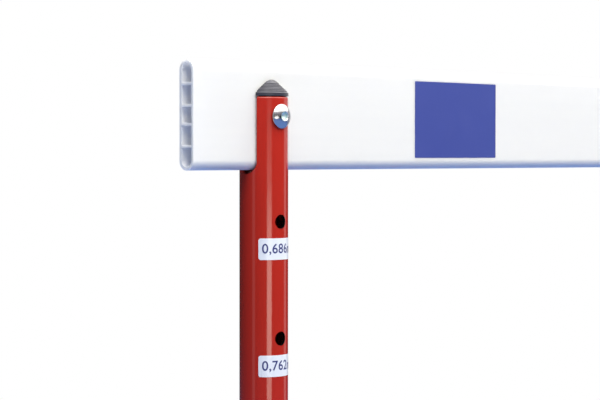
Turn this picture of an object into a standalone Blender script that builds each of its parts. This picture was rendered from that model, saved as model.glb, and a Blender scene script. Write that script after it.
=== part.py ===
# Training hurdle: a five-chamber plastic crossbar in two slotted steel tubes, which slide in the
# outer tubes of a welded base and are held by two index plungers.
# Metres, +Z up, X along the crossbar. The origin is on the floor under the middle of the hurdle.
# The front, with the adjusting holes, the bolt heads and the plungers, faces -Y.

import math

import bmesh
import bpy
from mathutils import Vector

# Crossbar, an extruded profile with round edges and five chambers
BAR_LENGTH = 1.200
BAR_HEIGHT = 0.070
BAR_THICKNESS = 0.013
BAR_WALL = 0.002
BAR_WEB = 0.0016
BOLT_CHAMBER_HEIGHT = 0.0103
BAR_OVERHANG = 0.068

# Coloured film bands on the flat faces of the crossbar
BAND_LENGTH = 0.091
BAND_HEIGHT = 0.0544
BAND_THICKNESS = 0.0003
BAND_FROM_BAR_END = 0.211

# Height settings, counted from the lowest
LOWEST_BAR_TOP = 0.686
SETTING_PITCH = 0.0762
SETTING_COUNT = 6
REST_SETTING = 3
FIRST_HOLE_BELOW_BAR = 0.0336
SETTING_HOLE_DIAMETER = 0.0093

# Upper tubes
UPPER_TUBE_DIAMETER = 0.032
UPPER_TUBE_WALL = 0.002
UPPER_TUBE_ABOVE_BOLT = 0.013
UPPER_TUBE_BELOW_LAST_HOLE = 0.115
TUBE_EDGE_CHAMFER = 0.0007
BAR_SLOT_CLEARANCE = 0.0013
BAR_SLOT_GAP_BELOW = 0.0025

# Half caps: a ridged cone on a rim, with a plug in the tube, sawn open for the crossbar
CAP_CONE_HEIGHT = 0.0152
CAP_OVERHANG = 0.0002
CAP_RIM_HEIGHT = 0.0024
CAP_PLUG_DEPTH = 0.007
CAP_PLUG_TAPER = 0.0006
CAP_BAR_CLEARANCE = 0.0008
CAP_RIDGES = 6
CAP_RIDGE_HEIGHT = 0.0004
CAP_PLAIN_TIP_RADIUS = 0.0100

# Crossbar bolts, M8 with a domed head and a hexagon socket, a washer and a cap nut
BOLT_DIAMETER = 0.008
BOLT_HOLE_CLEARANCE = 0.0003
BOLT_HEAD_DIAMETER = 0.016
BOLT_HEAD_EDGE = 0.0006
BOLT_HEAD_HEIGHT = 0.0037
BOLT_SOCKET_ACROSS_FLATS = 0.005
BOLT_SOCKET_DEPTH = 0.0022
WASHER_DIAMETER = 0.016
WASHER_THICKNESS = 0.0016
NUT_ACROSS_FLATS = 0.013
NUT_HEX_HEIGHT = 0.0065
NUT_DOME_DIAMETER = 0.0122
NUT_DOME_HEIGHT = 0.0085
NUT_BORE_DEPTH = 0.011
BOLT_TIP_CLEARANCE = 0.001

# Glides in the lower ends of the upper tubes
GLIDE_PLUG_LENGTH = 0.018
GLIDE_FLANGE_HEIGHT = 0.012
GLIDE_CHAMFER = 0.001
GLIDE_BORE = 0.020

# Outer tubes of the base, and the guide collars in their rims
OUTER_TUBE_DIAMETER = 0.038
OUTER_TUBE_WALL = 0.0015
RIM_BELOW_LOWEST_BAR = 0.006
WELD_LEG = 0.002
COLLAR_FLANGE_HEIGHT = 0.003
COLLAR_DEPTH = 0.045
COLLAR_LEAD_IN = 0.0005
SLIDING_CLEARANCE = 0.0003

# Index plungers; distances run outwards from the upright's axis
PIN_DIAMETER = 0.0086
PIN_HOLE_CLEARANCE = 0.0005
PIN_TRAVEL = 0.007
PIN_PARKED_CLEARANCE = 0.001
PIN_NOSE_LENGTH = 0.016
PIN_NOSE_CHAMFER = 0.0013
PIN_ROD_DIAMETER = 0.005
PIN_ROD_IN_KNOB = 0.010
SLEEVE_DIAMETER = 0.016
SLEEVE_WALL_CLEARANCE = 0.0005
SLEEVE_END_WALL = 0.0025
SLEEVE_NUT_ACROSS_FLATS = 0.019
SLEEVE_NUT_HEIGHT = 0.006
BOSS_DIAMETER = 0.022
BOSS_LENGTH = 0.0115
SPRING_WIRE_DIAMETER = 0.001
SPRING_TURNS = 4
SPRING_LENGTH_PARKED = 0.0121
KNOB_DIAMETER = 0.025
KNOB_NECK_DIAMETER = 0.015
KNOB_LENGTH = 0.020
KNOB_REST_GAP = 0.0005

# Feet, cross tube and gussets
FOOT_LENGTH = 0.660
FOOT_WIDTH = 0.050
FOOT_HEIGHT = 0.030
FOOT_WALL = 0.002
FOOT_CORNER_RADIUS = 0.004
FOOT_FRONT_REACH = 0.090
END_CAP_FLANGE = 0.004
END_CAP_PLUG = 0.014
END_CAP_EDGE_RADIUS = 0.0015
GUSSET_LENGTH = 0.060
GUSSET_HEIGHT = 0.080
GUSSET_THICKNESS = 0.005
GUSSET_LIP = 0.012
GUSSET_NOTCH = 0.006
GUSSET_CORNER_RADIUS = 0.004

# Rubber pads, pushed into holes in the feet
PAD_DIAMETER = 0.038
PAD_HEIGHT = 0.008
PAD_CHAMFER = 0.001
PAD_STEM_DIAMETER = 0.010
PAD_BARB_DIAMETER = 0.0126
PAD_BARB_HEIGHT = 0.003
PAD_FROM_FOOT_END = 0.045

# Gap between pieces that touch, and the number of sides of round pieces
FIT = 0.0003
TUBE_SIDES = 32
FASTENER_SIDES = 24
SMALL_SIDES = 20
HOLE_SIDES = 16
ARC_STEPS = 6
CORNER_STEPS = 3
SMOOTH_ANGLE = math.radians(35)

# Places that follow from the sizes above
BAR_TOP = LOWEST_BAR_TOP + REST_SETTING * SETTING_PITCH
BAR_MIDDLE = BAR_TOP - BAR_HEIGHT / 2
BAR_BOTTOM = BAR_TOP - BAR_HEIGHT
UPRIGHT_X = BAR_LENGTH / 2 - BAR_OVERHANG
UPRIGHT_Y = FOOT_FRONT_REACH - FOOT_LENGTH / 2 - END_CAP_FLANGE
PIN_HEIGHT = LOWEST_BAR_TOP - BAR_HEIGHT - FIRST_HOLE_BELOW_BAR
UPPER_TUBE_TOP = BAR_MIDDLE + UPPER_TUBE_ABOVE_BOLT
LAST_HOLE_BELOW_BAR = FIRST_HOLE_BELOW_BAR + (SETTING_COUNT - 1) * SETTING_PITCH
UPPER_TUBE_BOTTOM = BAR_BOTTOM - LAST_HOLE_BELOW_BAR - UPPER_TUBE_BELOW_LAST_HOLE
UPPER_TUBE_RADIUS = UPPER_TUBE_DIAMETER / 2
UPPER_BORE_RADIUS = UPPER_TUBE_RADIUS - UPPER_TUBE_WALL
OUTER_TUBE_RADIUS = OUTER_TUBE_DIAMETER / 2
OUTER_BORE_RADIUS = OUTER_TUBE_RADIUS - OUTER_TUBE_WALL
OUTER_TUBE_TOP = LOWEST_BAR_TOP - BAR_HEIGHT - RIM_BELOW_LOWEST_BAR
FOOT_BOTTOM = PAD_HEIGHT + FIT
FOOT_TOP = FOOT_BOTTOM + FOOT_HEIGHT
FOOT_MIDDLE = (FOOT_BOTTOM + FOOT_TOP) / 2
OUTER_TUBE_BOTTOM = FOOT_TOP + FIT

# Turns of an object whose length was modelled along its own Z
ALONG_X = (math.radians(90), 0, math.radians(90))
TO_FRONT = (math.radians(90), 0, 0)
TO_REAR = (math.radians(90), 0, math.radians(180))

SIDES = (("left", -1), ("right", 1))


# Scene, materials and placing

for old_object in list(bpy.data.objects):
    bpy.data.objects.remove(old_object)

PIECES = bpy.data.collections.new("training_hurdle")
CUTTERS = bpy.data.collections.new("cutters")
for collection in (PIECES, CUTTERS):
    bpy.context.scene.collection.children.link(collection)


def make_material(name, colour, roughness, metallic=0.0):
    material = bpy.data.materials.new(name)
    material.use_nodes = True
    shader = material.node_tree.nodes["Principled BSDF"]
    shader.inputs["Base Color"].default_value = (*colour, 1.0)
    shader.inputs["Roughness"].default_value = roughness
    shader.inputs["Metallic"].default_value = metallic
    material.diffuse_color = (*colour, 1.0)
    return material


def make_axis(name, location):
    """An empty on the axis of a joint, which carries the pieces that move on it."""
    axis = bpy.data.objects.new(name, None)
    axis.location = location
    PIECES.objects.link(axis)
    return axis


def place(piece, location, rotation=(0, 0, 0), parent=None):
    """Puts a piece at a place in the world, also under a parent, which is never turned."""
    piece.rotation_euler = rotation
    piece.location = Vector(location)
    if parent:
        piece.parent = parent
        piece.location = Vector(location) - parent.location
    return piece


def add_object(name, mesh, material, collection=PIECES):
    new_object = bpy.data.objects.new(name, mesh)
    if material:
        mesh.materials.append(material)
    collection.objects.link(new_object)
    return new_object


# Outlines and turned profiles

def rounded_outline(corners, steps=ARC_STEPS):
    """Points of a flat outline. Each corner is (x, y, radius); the corners run anticlockwise."""
    points = []
    for index, (x, y, radius) in enumerate(corners):
        corner = Vector((x, y))
        before = (Vector(corners[index - 1][:2]) - corner).normalized()
        after = (Vector(corners[(index + 1) % len(corners)][:2]) - corner).normalized()
        if radius == 0:
            points.append(corner)
            continue
        half_angle = before.angle(after) / 2
        centre = corner + (before + after).normalized() * (radius / math.sin(half_angle))
        start = before * (radius / math.tan(half_angle)) + corner - centre
        sweep = math.pi - 2 * half_angle
        for step in range(steps + 1):
            turn = sweep * step / steps
            spoke = Vector((
                start.x * math.cos(turn) - start.y * math.sin(turn),
                start.x * math.sin(turn) + start.y * math.cos(turn),
            ))
            point = centre + spoke
            if not points or (point - points[-1]).length > 1e-7:
                points.append(point)
    if (points[0] - points[-1]).length < 1e-7:
        points.pop()
    return points


def rounded_rectangle(width, low, high, low_radius, high_radius, steps=ARC_STEPS):
    return rounded_outline([
        (-width / 2, low, low_radius),
        (width / 2, low, low_radius),
        (width / 2, high, high_radius),
        (-width / 2, high, high_radius),
    ], steps)


def arc_profile(centre_radius, centre_height, radius, from_degrees, to_degrees, steps=ARC_STEPS):
    """Points (radius, height) of an arc in a turned profile."""
    angles = [
        math.radians(from_degrees + (to_degrees - from_degrees) * step / steps)
        for step in range(steps + 1)
    ]
    return [
        (centre_radius + radius * math.cos(angle), centre_height + radius * math.sin(angle))
        for angle in angles
    ]


def turned(name, profile, material, closed=False, sides=FASTENER_SIDES, collection=PIECES):
    """Turns a profile of (radius, height) about Z. It runs down its outer side."""
    mesh = bpy.data.meshes.new(name)
    count = len(profile)
    edges = [(index, index + 1) for index in range(count - 1)]
    if closed:
        edges.append((count - 1, 0))
    mesh.from_pydata([(radius, 0, height) for radius, height in profile], edges, [])
    piece = add_object(name, mesh, material, collection)
    screw = piece.modifiers.new("turn", "SCREW")
    screw.steps = sides
    screw.render_steps = sides
    screw.use_merge_vertices = True
    screw.merge_threshold = 0.00001
    return piece


def ring_profile(outer_radius, inner_radius, low, high):
    return [(outer_radius, high), (outer_radius, low), (inner_radius, low), (inner_radius, high)]


def prism(name, outlines, length, material, collection=PIECES):
    """A flat outline, with holes where there are more outlines, given a length along Z."""
    curve = bpy.data.curves.new(name + "_outline", "CURVE")
    curve.dimensions = "2D"
    curve.fill_mode = "BOTH"
    curve.extrude = length / 2
    for outline in outlines:
        spline = curve.splines.new("POLY")
        spline.points.add(len(outline) - 1)
        for point, (x, y) in zip(spline.points, outline):
            point.co = (x, y, 0, 1)
        spline.use_cyclic_u = True
    return mesh_from_curve(name, curve, material, collection)


def mesh_from_curve(name, curve, material, collection=PIECES):
    sketch = bpy.data.objects.new(name + "_sketch", curve)
    collection.objects.link(sketch)
    bpy.context.view_layer.update()
    evaluated = sketch.evaluated_get(bpy.context.evaluated_depsgraph_get())
    mesh = bpy.data.meshes.new_from_object(evaluated)
    mesh.name = name
    weld_and_face_out(mesh)
    piece = add_object(name, mesh, material, collection)
    piece.matrix_world = sketch.matrix_world
    bpy.data.objects.remove(sketch)
    return piece


def weld_and_face_out(mesh):
    shape = bmesh.new()
    shape.from_mesh(mesh)
    bmesh.ops.remove_doubles(shape, verts=shape.verts, dist=0.000001)
    bmesh.ops.recalc_face_normals(shape, faces=shape.faces)
    shape.to_mesh(mesh)
    shape.free()


# Cutters

def as_cutter(cutter, location=(0, 0, 0), rotation=(0, 0, 0), parent=None):
    cutter.hide_render = True
    cutter.display_type = "WIRE"
    return place(cutter, location, rotation, parent)


def rods(name, radius, low, high, places=((0, 0),), sides=HOLE_SIDES):
    """Round rods along Z, at one place (x, y) each, as one cutter."""
    mesh = bpy.data.meshes.new(name)
    shape = bmesh.new()
    for x, y in places:
        rod = bmesh.ops.create_cone(
            shape, cap_ends=True, segments=sides, radius1=radius, radius2=radius, depth=high - low
        )
        bmesh.ops.translate(shape, verts=rod["verts"], vec=(x, y, (low + high) / 2))
    shape.to_mesh(mesh)
    shape.free()
    return add_object(name, mesh, None, CUTTERS)


def block(name, size, centre):
    mesh = bpy.data.meshes.new(name)
    shape = bmesh.new()
    bmesh.ops.create_cube(shape, size=1.0)
    bmesh.ops.scale(shape, verts=shape.verts, vec=size)
    bmesh.ops.translate(shape, verts=shape.verts, vec=centre)
    shape.to_mesh(mesh)
    shape.free()
    return add_object(name, mesh, None, CUTTERS)


def combine(piece, other, operation="DIFFERENCE"):
    boolean = piece.modifiers.new(other.name, "BOOLEAN")
    boolean.operation = operation
    boolean.object = other
    boolean.solver = "EXACT"


def hexagon(across_flats):
    corner_radius = across_flats / 2 / math.cos(math.radians(30))
    return [
        (corner_radius * math.cos(math.radians(60 * k)), corner_radius * math.sin(math.radians(60 * k)))
        for k in range(6)
    ]


def circle(radius, sides=FASTENER_SIDES):
    return [
        (radius * math.cos(math.tau * k / sides), radius * math.sin(math.tau * k / sides))
        for k in range(sides)
    ]


# Materials, by the finish of the real piece

RED = (0.46, 0.022, 0.016)
RED_PAINT = {"colour": RED, "roughness": 0.32}
WHITE_PLASTIC = {"colour": (0.86, 0.86, 0.88), "roughness": 0.38}
BLUE_FILM = {"colour": (0.068, 0.102, 0.375), "roughness": 0.42}
GREY_PLASTIC = {"colour": (0.085, 0.086, 0.095), "roughness": 0.55}
BLACK_PLASTIC = {"colour": (0.018, 0.018, 0.020), "roughness": 0.45}
BLACK_RUBBER = {"colour": (0.022, 0.022, 0.022), "roughness": 0.85}
NATURAL_NYLON = {"colour": (0.62, 0.60, 0.54), "roughness": 0.50}
ZINC = {"colour": (0.68, 0.70, 0.74), "roughness": 0.22, "metallic": 1.0}
SPRING_STEEL = {"colour": (0.42, 0.42, 0.44), "roughness": 0.30, "metallic": 1.0}


# Crossbar and its bands

def make_crossbar(carrier):
    """Five chambers: one for the bolts in the middle, and two of equal height on each side."""
    inner_width = BAR_THICKNESS - 2 * BAR_WALL
    side_chambers = BAR_HEIGHT - 2 * BAR_WALL - 4 * BAR_WEB - BOLT_CHAMBER_HEIGHT
    chamber_height = side_chambers / 4
    first = BOLT_CHAMBER_HEIGHT / 2
    second = first + BAR_WEB + chamber_height
    third = second + BAR_WEB + chamber_height
    bar_edge = BAR_THICKNESS / 2
    outlines = [
        rounded_rectangle(BAR_THICKNESS, -BAR_HEIGHT / 2, BAR_HEIGHT / 2, bar_edge, bar_edge),
        rounded_rectangle(inner_width, -first, first, 0, 0),
    ]
    for sign in (-1, 1):
        low, high = sorted((sign * (first + BAR_WEB), sign * second))
        outlines.append(rounded_rectangle(inner_width, low, high, 0, 0))
    outlines.append(rounded_rectangle(inner_width, second + BAR_WEB, third, 0, inner_width / 2))
    outlines.append(rounded_rectangle(inner_width, -third, -second - BAR_WEB, inner_width / 2, 0))
    bar = prism("crossbar", outlines, BAR_LENGTH, make_material("white_pvc", **WHITE_PLASTIC))
    place(bar, (0, UPRIGHT_Y, BAR_MIDDLE), ALONG_X, carrier)
    hole_radius = BOLT_DIAMETER / 2 + BOLT_HOLE_CLEARANCE
    holes = rods(
        "crossbar_bolt_holes", hole_radius, -BAR_THICKNESS, BAR_THICKNESS,
        [(-UPRIGHT_X, 0), (UPRIGHT_X, 0)],
    )
    as_cutter(holes, (0, UPRIGHT_Y, BAR_MIDDLE), TO_FRONT, carrier)
    combine(bar, holes)


def make_bands(carrier):
    band_x = BAR_LENGTH / 2 - BAND_FROM_BAR_END - BAND_LENGTH / 2
    band_y = BAR_THICKNESS / 2 + FIT + BAND_THICKNESS / 2
    outline = rounded_rectangle(BAND_LENGTH, -BAND_HEIGHT / 2, BAND_HEIGHT / 2, 0, 0)
    for face, y_sign in (("front", -1), ("rear", 1)):
        for side, x_sign in SIDES:
            name = f"{face}_{side}_band"
            band = prism(name, [outline], BAND_THICKNESS, make_material(name + "_film", **BLUE_FILM))
            location = (x_sign * band_x, UPRIGHT_Y + y_sign * band_y, BAR_MIDDLE)
            place(band, location, TO_FRONT, carrier)


# Upper tubes, with their caps, bolts and glides

def make_upper_tube(side, x, carrier):
    chamfer = TUBE_EDGE_CHAMFER
    profile = [
        (UPPER_TUBE_RADIUS - chamfer, UPPER_TUBE_TOP),
        (UPPER_TUBE_RADIUS, UPPER_TUBE_TOP - chamfer),
        (UPPER_TUBE_RADIUS, UPPER_TUBE_BOTTOM),
        (UPPER_BORE_RADIUS, UPPER_TUBE_BOTTOM),
        (UPPER_BORE_RADIUS, UPPER_TUBE_TOP),
    ]
    name = f"{side}_upper_tube"
    tube = turned(name, profile, make_material(name + "_paint", **RED_PAINT), True, TUBE_SIDES)
    place(tube, (x, UPRIGHT_Y, 0), (0, 0, 0), carrier)
    combine(tube, make_bar_slot(name, x, carrier))
    bolt_hole = rods(
        name + "_bolt_hole", BOLT_DIAMETER / 2 + BOLT_HOLE_CLEARANCE,
        -UPPER_TUBE_DIAMETER, UPPER_TUBE_DIAMETER,
    )
    as_cutter(bolt_hole, (x, UPRIGHT_Y, BAR_MIDDLE), TO_FRONT, carrier)
    combine(tube, bolt_hole)
    drops = [FIRST_HOLE_BELOW_BAR + k * SETTING_PITCH for k in range(SETTING_COUNT)]
    setting_holes = rods(
        name + "_setting_holes", SETTING_HOLE_DIAMETER / 2,
        UPPER_BORE_RADIUS / 2, UPPER_TUBE_DIAMETER, [(0, -drop) for drop in drops],
    )
    as_cutter(setting_holes, (x, UPRIGHT_Y, BAR_BOTTOM), TO_FRONT, carrier)
    combine(tube, setting_holes)


def make_bar_slot(name, x, carrier):
    """The slot has a round bottom, a little below the crossbar's lower edge."""
    half_width = BAR_THICKNESS / 2 + BAR_SLOT_CLEARANCE
    slot_bottom = BAR_BOTTOM - BAR_SLOT_GAP_BELOW
    slot_top = UPPER_TUBE_TOP + BAR_HEIGHT
    outline = rounded_rectangle(2 * half_width, slot_bottom, slot_top, half_width, 0)
    slot = prism(name + "_slot", [outline], 2 * UPPER_TUBE_DIAMETER, None, CUTTERS)
    return as_cutter(slot, (x, UPRIGHT_Y, 0), ALONG_X, carrier)


def cap_profile():
    """Cone with ridges like shallow stairs, then the rim and the tapered plug."""
    rim_radius = UPPER_TUBE_RADIUS + CAP_OVERHANG
    plug_radius = UPPER_BORE_RADIUS - FIT
    tube_top = UPPER_TUBE_TOP + FIT
    cone_base = tube_top + CAP_RIM_HEIGHT
    slope = CAP_CONE_HEIGHT / rim_radius
    profile = [(0, cone_base + CAP_CONE_HEIGHT)]
    for ridge in range(CAP_RIDGES):
        share = ridge / CAP_RIDGES
        radius = CAP_PLAIN_TIP_RADIUS + share * (rim_radius - CAP_PLAIN_TIP_RADIUS)
        height = cone_base + (rim_radius - radius) * slope
        profile.append((radius, height))
        profile.append((radius, height - CAP_RIDGE_HEIGHT))
    profile += [
        (rim_radius, cone_base - CAP_RIDGE_HEIGHT),
        (rim_radius, tube_top),
        (plug_radius, tube_top),
        (plug_radius - CAP_PLUG_TAPER, UPPER_TUBE_TOP - CAP_PLUG_DEPTH),
        (0, UPPER_TUBE_TOP - CAP_PLUG_DEPTH),
    ]
    return profile


def make_half_caps(side, x, carrier):
    cut_plane = BAR_THICKNESS / 2 + CAP_BAR_CLEARANCE
    cut_depth = 2 * UPPER_TUBE_DIAMETER
    cut_size = (2 * UPPER_TUBE_DIAMETER, cut_depth, 4 * UPPER_TUBE_DIAMETER)
    for face, y_sign in (("front", -1), ("rear", 1)):
        name = f"{side}_{face}_half_cap"
        cap = turned(name, cap_profile(), make_material(name + "_plastic", **GREY_PLASTIC),
                     sides=TUBE_SIDES)
        place(cap, (x, UPRIGHT_Y, 0), (0, 0, 0), carrier)
        centre = (0, y_sign * (cut_plane - cut_depth / 2), UPPER_TUBE_TOP)
        cut = block(name + "_bar_space", cut_size, centre)
        as_cutter(cut, (x, UPRIGHT_Y, 0), (0, 0, 0), carrier)
        combine(cap, cut)


def make_bolt_set(side, x, carrier):
    """Bolt, washer and cap nut lie along Y; their own Z runs to the front."""
    seat = UPPER_TUBE_RADIUS + FIT
    head_radius = BOLT_HEAD_DIAMETER / 2
    shank_radius = BOLT_DIAMETER / 2
    washer_back = seat + WASHER_THICKNESS
    nut_seat = washer_back + FIT
    bolt_end = nut_seat + NUT_BORE_DEPTH - BOLT_TIP_CLEARANCE
    dome_rise = BOLT_HEAD_HEIGHT - BOLT_HEAD_EDGE
    dome_radius = (head_radius ** 2 + dome_rise ** 2) / (2 * dome_rise)
    dome_start = math.degrees(math.acos(head_radius / dome_radius))
    dome = arc_profile(0, seat + BOLT_HEAD_HEIGHT - dome_radius, dome_radius, 90, dome_start)
    end_chamfer = BOLT_DIAMETER / 10
    bolt = turned(f"{side}_crossbar_bolt", [(0, seat + BOLT_HEAD_HEIGHT)] + dome[1:] + [
        (head_radius, seat),
        (shank_radius, seat),
        (shank_radius, end_chamfer - bolt_end),
        (shank_radius - end_chamfer, -bolt_end),
        (0, -bolt_end),
    ], make_material(f"{side}_bolt_zinc", **ZINC))
    socket = prism(
        f"{side}_bolt_socket", [hexagon(BOLT_SOCKET_ACROSS_FLATS)], 2 * BOLT_SOCKET_DEPTH,
        None, CUTTERS,
    )
    middle = (x, UPRIGHT_Y, BAR_MIDDLE)
    place(bolt, middle, TO_FRONT, carrier)
    socket_y = UPRIGHT_Y - seat - BOLT_HEAD_HEIGHT
    as_cutter(socket, (x, socket_y, BAR_MIDDLE), TO_FRONT, carrier)
    combine(bolt, socket)

    hole_radius = shank_radius + BOLT_HOLE_CLEARANCE
    washer = turned(
        f"{side}_crossbar_washer", ring_profile(WASHER_DIAMETER / 2, hole_radius, -washer_back, -seat),
        make_material(f"{side}_washer_zinc", **ZINC), True, SMALL_SIDES,
    )
    place(washer, middle, TO_FRONT, carrier)

    nut_name = f"{side}_crossbar_cap_nut"
    nut = prism(nut_name, [hexagon(NUT_ACROSS_FLATS)], NUT_HEX_HEIGHT,
                make_material(f"{side}_nut_zinc", **ZINC))
    nut_y = UPRIGHT_Y + nut_seat + NUT_HEX_HEIGHT / 2
    place(nut, (x, nut_y, BAR_MIDDLE), TO_FRONT, carrier)
    dome_radius = NUT_DOME_DIAMETER / 2
    dome_straight = NUT_DOME_HEIGHT - dome_radius
    dome = turned(
        nut_name + "_dome",
        [(0, NUT_DOME_HEIGHT)] + arc_profile(0, dome_straight, dome_radius, 90, 0, 4)[1:]
        + [(dome_radius, -NUT_HEX_HEIGHT / 2), (0, -NUT_HEX_HEIGHT / 2)],
        None, sides=SMALL_SIDES, collection=CUTTERS,
    )
    dome_y = UPRIGHT_Y + nut_seat + NUT_HEX_HEIGHT
    as_cutter(dome, (x, dome_y, BAR_MIDDLE), TO_REAR, carrier)
    combine(nut, dome, "UNION")
    bore = rods(nut_name + "_bore", hole_radius, -NUT_BORE_DEPTH, NUT_BORE_DEPTH)
    as_cutter(bore, (x, UPRIGHT_Y + nut_seat, BAR_MIDDLE), TO_FRONT, carrier)
    combine(nut, bore)


def make_glide(side, x, carrier):
    """A plug in the upper tube's lower end, with a flange that slides in the outer tube."""
    flange_radius = OUTER_BORE_RADIUS - SLIDING_CLEARANCE
    plug_radius = UPPER_BORE_RADIUS - FIT
    flange_top = UPPER_TUBE_BOTTOM - FIT
    flange_bottom = flange_top - GLIDE_FLANGE_HEIGHT
    bore_radius = GLIDE_BORE / 2
    profile = [
        (plug_radius, flange_top + GLIDE_PLUG_LENGTH),
        (plug_radius, flange_top),
        (flange_radius, flange_top),
        (flange_radius, flange_bottom + GLIDE_CHAMFER),
        (flange_radius - GLIDE_CHAMFER, flange_bottom),
        (bore_radius, flange_bottom),
        (bore_radius, flange_top + GLIDE_PLUG_LENGTH),
    ]
    name = f"{side}_lower_glide"
    glide = turned(name, profile, make_material(name + "_nylon", **NATURAL_NYLON), True)
    place(glide, (x, UPRIGHT_Y, 0), (0, 0, 0), carrier)


# Outer tubes and guide collars

def pin_hole_cutter(name, x):
    radius = PIN_DIAMETER / 2 + PIN_HOLE_CLEARANCE
    hole = rods(name + "_pin_hole", radius, UPPER_BORE_RADIUS, OUTER_TUBE_DIAMETER)
    return as_cutter(hole, (x, UPRIGHT_Y, PIN_HEIGHT), TO_FRONT)


def make_outer_tube(side, x):
    """The lower edge flares into its weld on the foot."""
    profile = [
        (OUTER_TUBE_RADIUS, OUTER_TUBE_TOP),
        (OUTER_TUBE_RADIUS, OUTER_TUBE_BOTTOM + WELD_LEG),
        (OUTER_TUBE_RADIUS + WELD_LEG, OUTER_TUBE_BOTTOM),
        (OUTER_BORE_RADIUS, OUTER_TUBE_BOTTOM),
        (OUTER_BORE_RADIUS, OUTER_TUBE_TOP),
    ]
    name = f"{side}_outer_tube"
    tube = turned(name, profile, make_material(name + "_paint", **RED_PAINT), True, TUBE_SIDES)
    place(tube, (x, UPRIGHT_Y, 0))
    combine(tube, pin_hole_cutter(name, x))


def make_guide_collar(side, x):
    """A nylon sleeve in the outer tube's rim, with a flange on top and a hole for the pin."""
    sleeve_radius = OUTER_BORE_RADIUS - FIT
    bore_radius = UPPER_TUBE_RADIUS + SLIDING_CLEARANCE
    flange_bottom = OUTER_TUBE_TOP + FIT
    flange_top = flange_bottom + COLLAR_FLANGE_HEIGHT
    collar_bottom = OUTER_TUBE_TOP - COLLAR_DEPTH
    profile = [
        (OUTER_TUBE_RADIUS - COLLAR_LEAD_IN, flange_top),
        (OUTER_TUBE_RADIUS, flange_top - COLLAR_LEAD_IN),
        (OUTER_TUBE_RADIUS, flange_bottom),
        (sleeve_radius, flange_bottom),
        (sleeve_radius, collar_bottom),
        (bore_radius, collar_bottom),
        (bore_radius, flange_top - COLLAR_LEAD_IN),
        (bore_radius + COLLAR_LEAD_IN, flange_top),
    ]
    name = f"{side}_guide_collar"
    collar = turned(name, profile, make_material(name + "_nylon", **BLACK_PLASTIC), True, TUBE_SIDES)
    place(collar, (x, UPRIGHT_Y, 0))
    combine(collar, pin_hole_cutter(name, x))


# Index plungers, modelled along their own Z, which runs to the front from the upright's axis

SLEEVE_START = OUTER_TUBE_RADIUS + SLEEVE_WALL_CLEARANCE
BOSS_END = OUTER_TUBE_RADIUS + BOSS_LENGTH
SLEEVE_NUT_START = BOSS_END + FIT
SLEEVE_BORE_RADIUS = PIN_DIAMETER / 2 + SLIDING_CLEARANCE
ROD_HOLE_RADIUS = PIN_ROD_DIAMETER / 2 + SLIDING_CLEARANCE
PIN_TIP_PARKED = UPPER_TUBE_RADIUS + PIN_PARKED_CLEARANCE
PIN_SHOULDER_PARKED = PIN_TIP_PARKED + PIN_NOSE_LENGTH
SLEEVE_END_WALL_START = PIN_SHOULDER_PARKED + 2 * FIT + SPRING_LENGTH_PARKED
SLEEVE_END = SLEEVE_END_WALL_START + SLEEVE_END_WALL
KNOB_START_PARKED = SLEEVE_END + KNOB_REST_GAP + PIN_TRAVEL


def make_boss(side, x):
    """A short tube with a saddle end, welded to the outer tube."""
    bore_radius = SLEEVE_DIAMETER / 2 + FIT
    profile = ring_profile(BOSS_DIAMETER / 2, bore_radius, UPPER_BORE_RADIUS / 2, BOSS_END)
    name = f"{side}_plunger_boss"
    boss = turned(name, profile, make_material(name + "_paint", **RED_PAINT), True)
    place(boss, (x, UPRIGHT_Y, PIN_HEIGHT), TO_FRONT)
    tube_space = rods(
        name + "_tube_space", OUTER_TUBE_RADIUS + FIT, -OUTER_TUBE_DIAMETER, OUTER_TUBE_DIAMETER,
        sides=TUBE_SIDES,
    )
    as_cutter(tube_space, (x, UPRIGHT_Y, PIN_HEIGHT))
    combine(boss, tube_space)


def make_sleeve(side, x):
    """The plunger's body: a threaded barrel with a hexagon, closed at the knob's end."""
    barrel_radius = SLEEVE_DIAMETER / 2
    profile = [
        (barrel_radius, SLEEVE_END),
        (barrel_radius, SLEEVE_START),
        (SLEEVE_BORE_RADIUS, SLEEVE_START),
        (SLEEVE_BORE_RADIUS, SLEEVE_END_WALL_START),
        (ROD_HOLE_RADIUS, SLEEVE_END_WALL_START),
        (ROD_HOLE_RADIUS, SLEEVE_END),
    ]
    name = f"{side}_plunger_sleeve"
    sleeve = turned(name, profile, make_material(name + "_zinc", **ZINC), True)
    place(sleeve, (x, UPRIGHT_Y, PIN_HEIGHT), TO_FRONT)
    hexagon_hole = circle((barrel_radius + SLEEVE_BORE_RADIUS) / 2)
    nut = prism(name + "_hexagon", [hexagon(SLEEVE_NUT_ACROSS_FLATS), hexagon_hole],
                SLEEVE_NUT_HEIGHT, None, CUTTERS)
    nut_y = UPRIGHT_Y - SLEEVE_NUT_START - SLEEVE_NUT_HEIGHT / 2
    as_cutter(nut, (x, nut_y, PIN_HEIGHT), TO_FRONT)
    combine(sleeve, nut, "UNION")


def make_pin(side, carrier):
    nose_radius = PIN_DIAMETER / 2
    rod_radius = PIN_ROD_DIAMETER / 2
    rod_end = KNOB_START_PARKED + PIN_ROD_IN_KNOB
    pin = turned(f"{side}_plunger_pin", [
        (0, rod_end),
        (rod_radius, rod_end),
        (rod_radius, PIN_SHOULDER_PARKED),
        (nose_radius, PIN_SHOULDER_PARKED),
        (nose_radius, PIN_TIP_PARKED + PIN_NOSE_CHAMFER),
        (nose_radius - PIN_NOSE_CHAMFER, PIN_TIP_PARKED),
        (0, PIN_TIP_PARKED),
    ], make_material(f"{side}_pin_steel", **ZINC))
    place(pin, carrier.location, TO_FRONT, carrier)


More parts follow.
